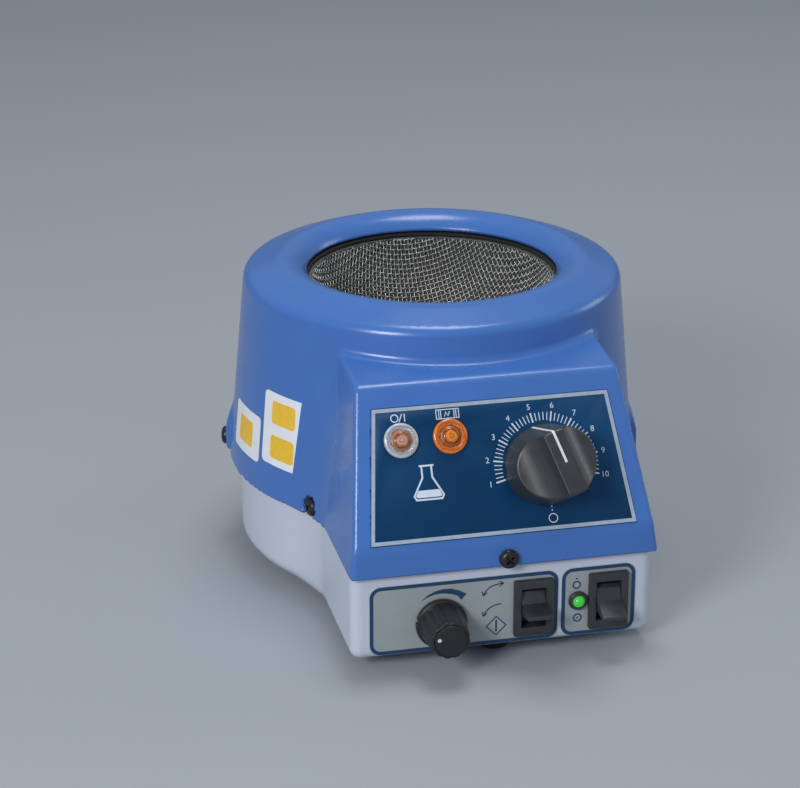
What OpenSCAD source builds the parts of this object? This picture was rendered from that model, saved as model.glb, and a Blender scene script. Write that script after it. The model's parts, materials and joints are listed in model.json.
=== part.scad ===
// Stirring heating mantle: a round plastic cover over a cloth heating well, with a
// sloping control housing in front and electromagnets under the well that turn a bar.
// Origin: on the axis of the well, at the level of the table. +Z is up, the controls face -Y.

/* [Cover] */
// Radius of the round cover at its bottom rim
rim_r = 88.3; // [87.5:0.1:89]
// Height of the cover's bottom edge above the table
seam_z = 43; // [42.5:0.1:43.5]
// Wall thickness of the cover
wall = 2.6; // [2.2:0.1:3]
// Radius at which the round shoulder is centred
shoulder_at_r = 76.05; // [75:0.05:77]
// Height at which the round shoulder is centred
shoulder_at_z = 123.1; // [122:0.1:124]
// Radius of the round shoulder
shoulder_round = 5; // [4:0.5:6]
// Radius at which the rounded lip of the well is centred
lip_at_r = 63.5; // [63:0.1:64]
// Height at which the rounded lip of the well is centred
lip_at_z = 121.3; // [121:0.1:122]
// Radius of the rounded lip of the well
lip_round = 11; // [10:0.5:11.5]

/* [Control housing] */
// Half width of the housing at the cover's bottom edge
house_half_w = 63.4; // [62:0.1:64]
// Distance from the well's axis to the front lip
front_y = 127.2; // [126:0.1:128]
// Height at which the sloping face starts
slope_z = 54.25; // [53:0.25:55]
// Distance from the well's axis to the upper end of the slope
deck_y = 94.5; // [93:0.1:96]
// Height of the upper end of the slope
deck_z = 112; // [111:0.1:113]
// Inward lean of the side walls for each millimetre of height
side_lean = 0.132; // [0.12:0.001:0.14]

/* [Base tray] */
// Radius of the round part of the base
base_r = 84; // [83:0.1:84.5]
// Half width of the front part of the base
base_half_w = 62.3; // [61:0.1:62.8]
// Distance from the well's axis to the base's front wall
base_front_y = 123.6; // [122:0.1:124]
// Height of the base's underside above the table
base_z = 6; // [5:0.5:7]
// Wall thickness of the base
base_wall = 2.5; // [2:0.1:3]

/* [Well] */
// Radius of the bowl that the wire screen forms
bowl_r = 53.3; // [52.5:0.1:53.5]
// Height of the bowl's centre
bowl_at_z = 135.3; // [135:0.1:136]
// Thickness of the knitted heating cloth
cloth_t = 3; // [2.5:0.1:3.2]
// Radius of the metal can under the cover
can_r = 72; // [71:0.5:73]
// Height of the can's floor
can_z = 66; // [65.5:0.5:67]

/* [Controls] */
// Heat knob: distance right of the middle of the sloping face
heat_x = 20; // [19:0.5:21]
// Heat knob: distance up the sloping face
heat_v = 28; // [27:0.5:29]
// Radius of the heat knob at its foot
heat_knob_r = 17; // [16:0.5:17.5]
// Height of the heat knob above the plate
heat_knob_h = 28; // [24:0.5:30]
// Speed knob: distance right of the middle
speed_x = -26; // [-27:0.5:-25]
// Speed knob: height above the table
speed_z = 20.2; // [19:0.2:21]
// Radius of the speed knob's skirt
speed_knob_r = 10.6; // [10:0.1:11]
// Height of the speed knob above the panel
speed_knob_h = 17.6; // [16:0.2:19]
// Places of the two rocker switches right of the middle
rocker_x = [12.2, 43.5];
// Height of the rocker switches above the table
rocker_z = 22.9; // [22.5:0.1:23.3]
// Tilt of a rocker at the end of its travel, in degrees
rocker_tilt = 13; // [10:1:14]
// Diameter of the lamps' lenses
lamp_d = 14.4; // [13:0.2:15]

/* [Stirrer] */
// Radius of the circle on which the magnet cores stand
core_at_r = 26; // [25:0.5:27]
// Radius of a magnet core
core_r = 5; // [4:0.5:5]
// Height of the yoke plate's underside
yoke_z = 40; // [39:0.5:41]
// Radius of the yoke plate
yoke_r = 46; // [44:0.5:48]

/* [Hidden] */
$fn = 72;
eps = 0.01;
air = 0.02;
// The well's axis stands this far behind the middle of the whole outline.
outline_y = 26;

// Round cover: the side wall leans from the rim to the shoulder, and a straight
// cone that touches both rounds joins the shoulder to the lip.
tangent_dist = norm([shoulder_at_r - lip_at_r, shoulder_at_z - lip_at_z]);
top_a = atan2(shoulder_at_z - lip_at_z, shoulder_at_r - lip_at_r)
    + acos((lip_round - shoulder_round) / tangent_dist);
side_dr = rim_r - shoulder_at_r;
side_dz = shoulder_at_z - seam_z;
side_a = atan2(side_dr, side_dz) - asin(shoulder_round / norm([side_dr, side_dz]));
lip_end_a = 158;
lip_r = lip_at_r + lip_round * cos(lip_end_a);
lip_end_z = lip_at_z + lip_round * sin(lip_end_a);
can_screw_r = 74.6;

// Sloping face: its tilt, and the place of its lower edge.
slope_run = front_y - 1.2 - deck_y;
slope_a = atan2(deck_z - slope_z, slope_run);
slope_foot_y = -(front_y - 1.2);
recess = 0.8;
plate_t = 1;

// Screws that hold the cover down: x, y and the direction in which the head faces.
screw_z = 46.6;
seat_r = 90;
seat_angles = [164, 90];
grip_angle = -13;
screw_places = [
    [1, -front_y - 0.3, -90],
    for (a = seat_angles) [seat_r * cos(a), seat_r * sin(a), a],
    [-65, -60.5, -168],
    [65, -60.5, -12]
];
corner_screws = [3, 4];
pocket_r = 4.6;

shaft_r = 3;
shaft_hole_r = 3.05;
pivot_y = -118;
panel_y = -base_front_y - 0.4;
bezel_t = 2;
rocker_w = 9.9;
trunnion_r = 1.5;

function arc(c, r, a0, a1, n = 8) =
    [for (i = [0:n]) let (a = a0 + (a1 - a0) * i / n) [c[0] + r * cos(a), c[1] + r * sin(a)]];

// Half width of the housing at height z, t inside its outer face
function half_w(z, t) = house_half_w - (z - seam_z) * side_lean - t * norm([1, side_lean]);

// Distance from the axis to the sloping face at height z, t inside its outer face
function slope_at(z, t) = slope_foot_y + (z - slope_z) / tan(slope_a) + t / sin(slope_a);

// Puts its children on the sloping face: x across, y up the slope, z out of the face
module on_slope(x, v, h = 0) {
    translate([0, slope_foot_y, slope_z])
        rotate([slope_a, 0, 0])
            translate([x, v, h])
                children();
}

// Puts its children on the front panel, with z out of the panel towards the front
module on_panel(x, z, y = -base_front_y) {
    translate([x, y, z])
        rotate([90, 0, 0])
            children();
}

// Puts its children at a cover screw, with z out along the head's direction
module at_screw(place) {
    translate([place[0], place[1], screw_z])
        rotate([0, 0, place[2]])
            rotate([0, 90, 0])
                children();
}

module tube(r_out, r_in, h) {
    difference() {
        cylinder(r = r_out, h = h);
        translate([0, 0, -1])
            cylinder(r = r_in, h = h + 2);
    }
}

module rounded_box(size, r) {
    linear_extrude(size[2])
        rounded_rect(size[0], size[1], r);
}

module rounded_rect(w, h, r) {
    polygon(concat(
        arc([w / 2 - r, h / 2 - r], r, 0, 90, 5),
        arc([-w / 2 + r, h / 2 - r], r, 90, 180, 5),
        arc([-w / 2 + r, -h / 2 + r], r, 180, 270, 5),
        arc([w / 2 - r, -h / 2 + r], r, 270, 360, 5)
    ));
}

// Domed screw head with a cross recess, on a plain shank that points to -z
module pan_screw(head_r, head_h, shank_r, shank_l) {
    difference() {
        union() {
            rotate_extrude()
                polygon(concat(
                    [[0, 0], [head_r, 0]],
                    arc([head_r - head_h * 0.8, head_h * 0.2], head_h * 0.8, 0, 90, 6),
                    [[0, head_h]]
                ));
            translate([0, 0, -shank_l])
                cylinder(r = shank_r, h = shank_l + eps);
        }
        for (a = [45, 135])
            rotate([0, 0, a])
                translate([-head_r * 0.55, -head_r * 0.12, head_h * 0.45])
                    cube([head_r * 1.1, head_r * 0.24, head_h]);
    }
}

/* ---- cover ---- */

// Outline of the round cover, t inside its outer face
function cover_profile(t) = concat(
    [[0, seam_z - (t > 0 ? 1 : 0)], [rim_r - t, seam_z - (t > 0 ? 1 : 0)]],
    arc([shoulder_at_r, shoulder_at_z], shoulder_round - t, side_a, top_a, 8),
    arc([lip_at_r, lip_at_z], lip_round - t, top_a, lip_end_a, 12),
    [[0, lip_at_z + (lip_round - t) * sin(lip_end_a)]]
);

// Height at which the front lip meets the sloping face, t inside their outer faces
function lip_top_z(t) = slope_z + (t - t / sin(slope_a)) * tan(slope_a);

// The housing as seen from the side, t inside its outer face
function house_side(t) = [
    [0, seam_z - (t > 0 ? 1 : 0)],
    [-front_y + t, seam_z - (t > 0 ? 1 : 0)],
    [slope_foot_y + t, lip_top_z(t)],
    [slope_at(deck_z - t, t), deck_z - t],
    [-60, deck_z + 2.5 - t],
    [0, deck_z + 2.5 - t]
];

// The housing as seen from the front, t inside its outer face
function house_front(t) = [
    [-half_w(seam_z - 1, t), seam_z - 1],
    [half_w(seam_z - 1, t), seam_z - 1],
    [half_w(deck_z + 4, t), deck_z + 4],
    [-half_w(deck_z + 4, t), deck_z + 4]
];

module house_block(t) {
    intersection() {
        translate([-80, 0, 0])
            rotate([90, 0, 90])
                linear_extrude(160)
                    polygon(house_side(t));
        rotate([90, 0, 0])
            linear_extrude(140)
                polygon(house_front(t));
    }
}

module cover_block(t) {
    rotate_extrude($fn = 120)
        polygon(cover_profile(t));
    house_block(t);
}

// Flat-faced pad that carries a cover screw on the round wall
module screw_pad(a) {
    rotate([0, 0, a])
        translate([80, -7.5, seam_z + 0.4])
            rotate([90, 0, 90])
                linear_extrude(seat_r - 80)
                    polygon([[0, 0], [15, 0], [15, 16], [11.5, 20.6], [3.5, 20.6], [0, 16]]);
}

module top_cover() color([0.29, 0.43, 0.68]) {
    difference() {
        union() {
            difference() {
                union() {
                    cover_block(0);
                    for (a = concat(seat_angles, grip_angle))
                        screw_pad(a);
                }
                cover_block(wall);
                translate([0, 0, lip_at_z])
                    cylinder(r = lip_r, h = 20);
            }
            for (i = [0:2])
                at_screw(screw_places[i])
                    translate([0, 0, -4])
                        cylinder(r = 3.5, h = i == 0 ? 3.7 : 4);
            for (i = corner_screws)
                at_screw(screw_places[i])
                    translate([0, 0, -4])
                        cylinder(r = pocket_r, h = 4);
            for (a = [30, 150, 270])
                rotate([0, 0, a])
                    translate([can_screw_r, 0, flange_z + 1 + air])
                        cylinder(r = 3, h = lip_end_z + 1 - flange_z - air);
        }
        for (i = corner_screws)
            at_screw(screw_places[i])
                cylinder(r = pocket_r - 0.1, h = 8);
        for (place = screw_places)
            at_screw(place)
                translate([0, 0, -6])
                    cylinder(r = 1.9, h = 8);
        for (a = [30, 150, 270])
            rotate([0, 0, a])
                translate([can_screw_r, 0, lip_end_z - 4])
                    cylinder(r = 1.2, h = 5);
        on_slope(0, 0, -recess)
            linear_extrude(5)
                fascia_outline(0.5);
        on_slope(heat_x, heat_v, -6)
            cylinder(r = 5.1, h = 12);
        for (x = lamp_x)
            on_slope(x, lamp_v, -6)
                cylinder(r = 5.6, h = 12);
    }
}

/* ---- labels and plates ---- */

lamp_x = [-38, -18];
lamp_v = 43;
plate_v0 = 2;
plate_v1 = 56.5;
plate_w0 = 54.7;
plate_w1 = 48.7;

// Trapezoid of the fascia plate, grown by g
module fascia_outline(g) {
    polygon([
        [-plate_w0 - g, plate_v0 - g],
        [plate_w0 + g, plate_v0 - g],
        [plate_w1 + g, plate_v1 + g],
        [-plate_w1 - g, plate_v1 + g]
    ]);
}

module fascia_plate() color([0.05, 0.22, 0.36])
    difference() {
        on_slope(0, 0, -recess + air)
            linear_extrude(plate_t)
                fascia_outline(0);
        on_slope(heat_x, heat_v, -6)
            cylinder(r = 5.1, h = 12);
        for (x = lamp_x)
            on_slope(x, lamp_v, -6)
                cylinder(r = 5.6, h = 12);
    }

module lower_label() color([0.55, 0.58, 0.6])
    difference() {
        on_panel(0, 22.6, -base_front_y - air)
            rounded_box([115, 32, 0.38], 5);
        for (x = rocker_x)
            on_panel(x, rocker_z)
                translate([-7, -11, -1])
                    cube([14, 22, 3]);
        on_panel(speed_x, speed_z)
            translate([0, 0, -1])
                cylinder(r = 4, h = 3);
        on_panel(led_x, led_z)
            translate([0, 0, -1])
                cylinder(r = 3.1, h = 3);
    }

// Sticker on the round wall between two angles and two heights
module side_sticker(a0, a1, z0, z1) {
    r_at_z0 = wall_r(z0) + air;
    r_at_z1 = wall_r(z1) + air;
    rotate([0, 0, a0])
        rotate_extrude(angle = a1 - a0, $fn = 120)
            polygon([[r_at_z0, z0], [r_at_z0 + 0.2, z0], [r_at_z1 + 0.2, z1], [r_at_z1, z1]]);
}

// Radius of the cover's leaning wall at height z
wall_top_r = shoulder_at_r + shoulder_round * cos(side_a);
wall_top_z = shoulder_at_z + shoulder_round * sin(side_a);
function wall_r(z) = rim_r + (wall_top_r - rim_r) * (z - seam_z) / (wall_top_z - seam_z);

module side_sticker_large() color([0.93, 0.94, 0.96])
    side_sticker(-159, -141, 57.8, 89.3);

module side_sticker_small() color([0.93, 0.94, 0.96])
    side_sticker(-179, -160, 55, 75);

/* ---- base ---- */

// Outline of the round base, t inside its outer face, up to the height top
function base_profile(t, top) = concat(
    [[0, base_z + t]],
    arc([base_r - 8, base_z + 6], 6 - t, -90, 0, 6),
    [[base_r - 0.4 - t, 25], [base_r - t, 35], [base_r - t, top], [0, top]]
);

// The front part of the base as seen from the front, t inside its outer face
function base_front(t, top) = concat(
    arc([-base_half_w + 7, base_z + 4], 4 - t, 180, 270, 5),
    arc([base_half_w - 7, base_z + 4], 4 - t, 270, 360, 5),
    [[base_half_w - t, 35], [base_half_w - t, top], [-base_half_w + t, top], [-base_half_w + t, 35]]
);

// The front part of the base as seen from the side, t inside its outer face
function base_side(t, top) = concat(
    arc([-base_front_y + 4, base_z + 4], 4 - t, 180, 270, 5),
    [[0, base_z + t], [0, top], [-base_front_y + t, top]]
);

module base_block(t, top) {
    rotate_extrude($fn = 120)
        polygon(base_profile(t, top));
    intersection() {
        rotate([90, 0, 0])
            linear_extrude(140)
                polygon(base_front(t, top));
        translate([-80, 0, 0])
            rotate([90, 0, 90])
                linear_extrude(160)
                    polygon(base_side(t, top));
    }
}

// Plan of the base's upstand inside the cover, t inside its outer face
module upstand_plan(t) {
    circle(r = base_r - 0.4 - t, $fn = 120);
    translate([-upstand_half_w + t, -base_front_y + 0.4 + t])
        square([2 * (upstand_half_w - t), base_front_y]);
}

upstand_top = 52;
upstand_half_w = 59.2;
base_boss_gap = [4.2, 6, 6, 5, 5];
rear_flat_y = 79;
inlet_z = 24;

module base_tray() color([0.66, 0.7, 0.76]) {
    difference() {
        union() {
            difference() {
                union() {
                    base_block(0, seam_z - 0.3);
                    translate([0, 0, seam_z - 6])
                        linear_extrude(upstand_top - seam_z + 6)
                            upstand_plan(0);
                }
                base_block(base_wall, seam_z - 6);
                translate([0, 0, seam_z - 6 - eps])
                    linear_extrude(30)
                        upstand_plan(base_wall);
            }
            for (i = [0:4])
                at_screw(screw_places[i])
                    translate([0, 0, -13])
                        cylinder(r = 4, h = 13 - base_boss_gap[i]);
            for (p = foot_places)
                translate([p[0], p[1], base_z + 1])
                    cylinder(r = 4.5, h = 8);
            intersection() {
                translate([-30, rear_flat_y - base_wall, base_z + 2])
                    cube([60, base_wall, 34]);
                rotate_extrude($fn = 120)
                    polygon(base_profile(0.1, seam_z - 1));
            }
        }
        translate([-40, rear_flat_y, base_z - 1])
            cube([80, 20, seam_z - base_z - 1]);
        for (place = screw_places)
            at_screw(place)
                translate([0, 0, -14])
                    cylinder(r = 1.3, h = 12);
        for (p = foot_places)
            translate([p[0], p[1], base_z - 1])
                cylinder(r = 1.3, h = 9);
        for (x = rocker_x)
            on_panel(x, rocker_z)
                translate([-7, -11, -4])
                    cube([14, 22, 8]);
        on_panel(speed_x, speed_z)
            translate([0, 0, -4])
                cylinder(r = 3.6, h = 8);
        on_panel(led_x, led_z)
            translate([0, 0, -4])
                cylinder(r = 3.1, h = 8);
        translate([-13.8, rear_flat_y - 4, inlet_z - 10])
            cube([27.6, 8, 20]);
        for (i = [-4:4])
            translate([i * 8 - 1.5, 20, base_z - 1])
                cube([3, 28, 6]);
    }
}

foot_places = [[0, -108], [-58, 34], [58, 34]];

module rubber_feet() color([0.12, 0.12, 0.13])
    for (p = foot_places)
        translate([p[0], p[1], 0])
            difference() {
                rotate_extrude()
                    polygon([[0, 0], [5.6, 0], [6.4, 0.8], [6.8, base_z], [0, base_z]]);
                translate([0, 0, -1])
                    cylinder(r = 4, h = 3.6);
                translate([0, 0, -1])
                    cylinder(r = 1.8, h = 10);
            }

module foot_screws() color([0.7, 0.7, 0.72])
    for (p = foot_places)
        translate([p[0], p[1], 2.6])
            mirror([0, 0, 1])
                pan_screw(3.4, 2, 1.3, 9);

module cover_screws() color([0.1, 0.1, 0.11])
    for (place = screw_places)
        at_screw(place)
            translate([0, 0, place[2] == -90 ? -0.28 : air])
                pan_screw(4, 2.5, 1.3, 11);

/* ---- well ---- */

// Bowl-shaped shell between two radii, cut off at the height top
module bowl_shell(r_in, t, top) {
    difference() {
        translate([0, 0, bowl_at_z])
            sphere(r = r_in + t, $fn = 96);
        translate([0, 0, bowl_at_z])
            sphere(r = r_in, $fn = 96);
        translate([-100, -100, top])
            cube([200, 200, 100]);
    }
}

screen_t = 0.7;
flange_z = lip_end_z - 3;
cloth_in = bowl_r + screen_t + air;
cloth_out = cloth_in + cloth_t;
winding_r = 0.9;
winding_at = cloth_out + air + winding_r;
fill_in = winding_at + winding_r + 0.1;

module rim_gasket() color([0.06, 0.06, 0.07])
    translate([0, 0, flange_z + 1.05])
        tube(70, bowl_r - 0.4, 0.9);

module earth_screen() color([0.62, 0.63, 0.64]) {
    bowl_shell(bowl_r, screen_t, flange_z);
    translate([0, 0, flange_z])
        tube(62, 52.2, 0.4);
}

module heating_cloth() color([0.85, 0.84, 0.8])
    bowl_shell(cloth_in, cloth_t, flange_z - 0.1);

// Rings of heating wire behind the cloth, joined one to the next by short links
ring_angles = [for (i = [0:7]) 12 + i * 8.5];

module heater_winding() color([0.55, 0.45, 0.4])
    translate([0, 0, bowl_at_z]) {
        for (a = ring_angles)
            rotate_extrude()
                translate([winding_at * sin(a), -winding_at * cos(a)])
                    circle(r = winding_r, $fn = 16);
        for (i = [0:6])
            rotate([0, 0, 180 * (i % 2)])
                rotate([0, ring_angles[i] + 4.25, 0])
                    translate([-4.25, 0, -winding_at * 0.9973])
                        rotate([0, 90, 0])
                            cylinder(r = 0.5, h = 8.5);
    }

// Packing between the heating wire and the can
module insulation() color([0.9, 0.89, 0.85])
    difference() {
        translate([0, 0, can_z + 0.1])
            cylinder(r = can_r - 1.1, h = flange_z - can_z - 0.3);
        translate([0, 0, bowl_at_z])
            sphere(r = fill_in, $fn = 96);
    }

module inner_can() color([0.75, 0.76, 0.78])
    difference() {
        union() {
            translate([0, 0, can_z - 1])
                tube(can_r, can_r - 1, flange_z - can_z + 2);
            translate([0, 0, can_z - 1])
                cylinder(r = can_r, h = 1);
            translate([0, 0, flange_z])
                tube(76.8, 63, 1);
        }
        for (a = [30, 150, 270])
            rotate([0, 0, a])
                translate([can_screw_r, 0, flange_z - 1])
                    cylinder(r = 1.5, h = 3);
    }

module can_screws() color([0.7, 0.7, 0.72])
    for (a = [30, 150, 270])
        rotate([0, 0, a])
            translate([can_screw_r, 0, flange_z - air])
                mirror([0, 0, 1])
                    pan_screw(2.6, 1.4, 1.15, 4);

/* ---- stirrer ---- */

yoke_t = 2.5;
core_h = can_z - 2 - yoke_z - yoke_t;
pillar_places = [[34, 18], [-34, 18], [34, -18], [-34, -18]];

module at_cores() {
    for (a = [0:90:270])
        rotate([0, 0, a])
            translate([core_at_r, 0, yoke_z + yoke_t])
                children();
}

module at_pillars(z) {
    for (p = pillar_places)
        translate([p[0], p[1], z])
            children();
}

module yoke_plate() color([0.55, 0.56, 0.58])
    difference() {
        translate([0, 0, yoke_z])
            cylinder(r = yoke_r, h = yoke_t);
        at_pillars(yoke_z - 1)
            cylinder(r = 1.6, h = yoke_t + 2);
    }

module magnet_cores() color([0.5, 0.51, 0.53])
    at_cores()
        translate([0, 0, air])
            cylinder(r = core_r, h = core_h);

module coil_bobbins() color([0.88, 0.88, 0.84])
    at_cores()
        difference() {
            union() {
                translate([0, 0, 0.2])
                    cylinder(r = 13, h = 1.2);
                translate([0, 0, core_h - 1.6])
                    cylinder(r = 13, h = 1.2);
                translate([0, 0, 0.3])
                    cylinder(r = core_r + 1.1, h = core_h - 0.8);
            }
            translate([0, 0, -1])
                cylinder(r = core_r + 0.05, h = core_h + 2);
        }

module coil_windings() color([0.72, 0.4, 0.2])
    at_cores()
        translate([0, 0, 1.5])
            tube(12, core_r + 1.2, core_h - 3.2);

module stirrer_pillars() color([0.75, 0.75, 0.77])
    at_pillars(base_z + base_wall + air)
        difference() {
            cylinder(r = 3.5, h = yoke_z - base_z - base_wall - 2 * air);
            translate([0, 0, yoke_z - base_z - base_wall - 8])
                cylinder(r = 1.3, h = 10);
        }

module pillar_screws() color([0.7, 0.7, 0.72])
    at_pillars(yoke_z + yoke_t + air)
        pan_screw(3, 2, 1.3, 8);

module heat_shield() color([0.78, 0.79, 0.8])
    difference() {
        translate([0, 0, 36])
            cylinder(r = 60, h = 0.8);
        at_pillars(35)
            cylinder(r = 3.7, h = 3);
        translate([0, earth_stud_y, 35])
            cylinder(r = 2.3, h = 3);
    }

/* ---- heat control ---- */

module energy_regulator() color([0.85, 0.83, 0.76])
    on_slope(heat_x, heat_v)
        difference() {
            union() {
                translate([-18, -20, -28])
                    cube([36, 40, 24]);
                translate([0, 0, -4.5])
                    cylinder(r = 5, h = 7.2);
            }
            translate([0, 0, -20])
                cylinder(r = shaft_hole_r, h = 30);
        }

module regulator_nut() color([0.75, 0.72, 0.6])
    on_slope(heat_x, heat_v, plate_t - recess + 2 * air)
        difference() {
            cylinder(r = 8, h = 2.2, $fn = 6);
            translate([0, 0, -1])
                cylinder(r = 5.02, h = 5);
        }

module regulator_shaft() color([0.75, 0.75, 0.77])
    on_slope(heat_x, heat_v, -18)
        difference() {
            cylinder(r = shaft_r, h = 34);
            translate([1.5, -5, 26])
                cube([5, 10, 10]);
        }

heat_rest = 18;
knob_gap = 0.6;

// Flared foot, drafted body and a grip bar left standing by two scoops
module heat_knob() color([0.14, 0.14, 0.15])
    on_slope(heat_x, heat_v, plate_t - recess + knob_gap)
        rotate([0, 0, heat_rest])
            difference() {
                rotate_extrude()
                    polygon(concat(
                        [[0, 0], [heat_knob_r, 0], [heat_knob_r, 3], [heat_knob_r - 0.8, 5]],
                        arc([heat_knob_r - 3.7, heat_knob_h - 2], 2, 0, 90, 5),
                        [[0, heat_knob_h]]
                    ));
                for (s = [-1, 1])
                    translate([s * 24.5, -20, heat_knob_h + 1.5])
                        rotate([-90, 0, 0])
                            cylinder(r = 20.5, h = 40);
                translate([0, 0, -1])
                    cylinder(r = 10, h = 5);
                translate([0, 0, -1])
                    cylinder(r = shaft_r + 0.02, h = 17.8);
            }

/* ---- lamps ---- */

module lamp_lens() {
    rotate_extrude()
        polygon(concat(
            [[4.2, 0], [lamp_d / 2, 0]],
            arc([lamp_d / 2 - 1.6, 1.4], 1.6, 0, 60, 5),
            [[4.6, 3.9], [4.2, 4.6], [0, 5], [0, 4], [3.4, 3.6], [4.2, 2.6]]
        ));
}

module lamp_lens_at(x) {
    on_slope(x, lamp_v, plate_t - recess + 2 * air)
        lamp_lens();
}

module mains_lamp_lens() color([0.85, 0.85, 0.86, 0.6])
    lamp_lens_at(lamp_x[0]);

module heater_lamp_lens() color([0.95, 0.5, 0.12, 0.7])
    lamp_lens_at(lamp_x[1]);

module lamp_bodies() color([0.9, 0.9, 0.88])
    for (x = lamp_x)
        on_slope(x, lamp_v, -24)
            difference() {
                cylinder(r = 5.4, h = 24);
                translate([0, 0, 8])
                    cylinder(r = 4.1, h = 17);
            }

module lamp_clips() color([0.7, 0.71, 0.73])
    for (x = lamp_x)
        on_slope(x, lamp_v, -wall - recess - 1.4)
            tube(7.5, 5.42, 0.6);

module neon_bulbs() color([0.95, 0.6, 0.4])
    for (x = lamp_x)
        on_slope(x, lamp_v, -14)
            rotate_extrude()
                polygon(concat([[0, 0], [2.5, 0]], arc([0, 13], 2.5, 0, 90, 6)));

/* ---- speed control ---- */

module speed_control() color([0.25, 0.3, 0.4])
    on_panel(speed_x, speed_z)
        difference() {
            union() {
                translate([0, 0, -12])
                    cylinder(r = 8, h = 12 - base_wall - 0.1);
                translate([0, 0, -4])
                    cylinder(r = 3.5, h = 6.9);
            }
            translate([0, 0, -11])
                cylinder(r = shaft_hole_r - 0.9, h = 20);
        }

module speed_control_nut() color([0.75, 0.72, 0.6])
    on_panel(speed_x, speed_z, panel_y - air)
        difference() {
            cylinder(r = 5.5, h = 1.8, $fn = 6);
            translate([0, 0, -1])
                cylinder(r = 3.55, h = 5);
        }

module speed_shaft() color([0.75, 0.75, 0.77])
    on_panel(speed_x, speed_z)
        translate([0, 0, -10])
            cylinder(r = 2.1, h = 24);

speed_rest = 79;

// Skirt, tapering fluted body and a recess for the cap
module speed_knob() color([0.14, 0.14, 0.15])
    on_panel(speed_x, speed_z, panel_y - 0.6)
        rotate([0, 0, speed_rest])
            difference() {
                rotate_extrude()
                    polygon([
                        [0, 0], [speed_knob_r, 0], [speed_knob_r, 2], [speed_knob_r - 0.5, 2.4],
                        [9.8, 2.6], [8.2, speed_knob_h - 1], [7.9, speed_knob_h - 0.6], [0, speed_knob_h - 0.6]
                    ]);
                for (a = [15:30:345])
                    rotate([0, 0, a])
                        translate([10.4, 0, 3.4])
                            rotate([0, -6.5, 0])
                                cylinder(r = 1.3, h = 20);
                translate([0, 0, -1])
                    cylinder(r = 6.6, h = 3.6);
                translate([0, 0, -1])
                    cylinder(r = 2.12, h = 15);
                translate([0, 0, speed_knob_h - 1.6])
                    cylinder(r = 6.8, h = 3);
            }

module speed_knob_cap() color([0.16, 0.16, 0.17])
    on_panel(speed_x, speed_z, panel_y - speed_knob_h + 1 - air)
        rotate_extrude()
            polygon([[0, 0], [6.7, 0], [6.7, 1.2], [6.3, 1.6], [0, 1.6]]);

/* ---- rocker switches ---- */

// Switch housing with its bezel, a cavity for the rocker and two trunnion holes
module switch_body(x) {
    difference() {
        union() {
            on_panel(x, rocker_z, panel_y - air)
                rounded_box([16.4, 24.4, bezel_t], 0.8);
            on_panel(x, rocker_z)
                translate([-6.8, -10.8, -18])
                    cube([13.6, 21.6, 19]);
        }
        on_panel(x, rocker_z)
            translate([-5.2, -8.5, -9.6])
                cube([10.4, 17, 20]);
        translate([x - 10, pivot_y, rocker_z])
            rotate([0, 90, 0])
                cylinder(r = trunnion_r + 0.06, h = 20);
    }
}

module mode_switch_body() color([0.15, 0.15, 0.16])
    switch_body(rocker_x[0]);

module power_switch_body() color([0.15, 0.15, 0.16])
    switch_body(rocker_x[1]);

module switch_tabs() color([0.8, 0.75, 0.6])
    for (x = rocker_x, z = [-6, 0, 6])
        on_panel(x, rocker_z + z)
            translate([-2.4, -0.4, -26])
                cube([4.8, 0.8, 8 - air]);

// Rocker with a middle blade, turned by tilt about its trunnions
module rocker(x, tilt) {
    translate([x, pivot_y, rocker_z])
        rotate([tilt, 0, 0]) {
            translate([-rocker_w / 2, 0, 0])
                rotate([90, 0, 90])
                    linear_extrude(rocker_w)
                        polygon([
                            [2.6, 3.4], [-3, 7.4], [-5.6, 6.6], [-8.4, 2.2], [-17.6, 0.9], [-18.1, 0.4],
                            [-18.1, -0.4], [-17.6, -0.9], [-8.4, -2.2], [-5.6, -6.6], [-3, -7.4], [2.6, -3.4]
                        ]);
            translate([-rocker_w / 2 - 1.7, 0, 0])
                rotate([0, 90, 0])
                    cylinder(r = trunnion_r, h = rocker_w + 3.4);
        }
}

module mode_rocker() color([0.16, 0.17, 0.19])
    rocker(rocker_x[0], 0);

module power_rocker() color([0.16, 0.17, 0.19])
    rocker(rocker_x[1], rocker_tilt);

/* ---- indicator ---- */

led_x = 31;
led_z = 23.5;

module indicator_bezel() color([0.12, 0.12, 0.13])
    on_panel(led_x, led_z)
        difference() {
            union() {
                translate([0, 0, 0.4 + air])
                    rotate_extrude()
                        polygon([[0, 0], [4, 0], [4, 1], [3.3, 1.9], [0, 1.9]]);
                translate([0, 0, -5])
                    cylinder(r = 3.05, h = 6);
            }
            translate([0, 0, -6])
                cylinder(r = 2.65, h = 12);
        }

module green_indicator() color([0.3, 0.75, 0.3])
    on_panel(led_x, led_z)
        translate([0, 0, -4])
            rotate_extrude()
                polygon(concat([[0, 0], [2.6, 0]], arc([0, 5.4], 2.6, 0, 90, 6)));

/* ---- mains input ---- */

pin_places = [[-7, -2], [7, -2], [0, 2]];

// Three-pin appliance inlet: a flange outside the wall and a hollow body inside
module mains_inlet() color([0.1, 0.1, 0.11])
    translate([0, rear_flat_y, inlet_z])
        rotate([-90, 0, 0])
            difference() {
                union() {
                    translate([-15.5, -11.8, air])
                        cube([31, 23.6, 2]);
                    translate([-13.6, -9.8, -20])
                        cube([27.2, 19.6, 21]);
                }
                translate([0, 0, -17])
                    linear_extrude(30)
                        polygon([[-12, 8.2], [12, 8.2], [12, -4], [8, -8.2], [-8, -8.2], [-12, -4]]);
            }

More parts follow.
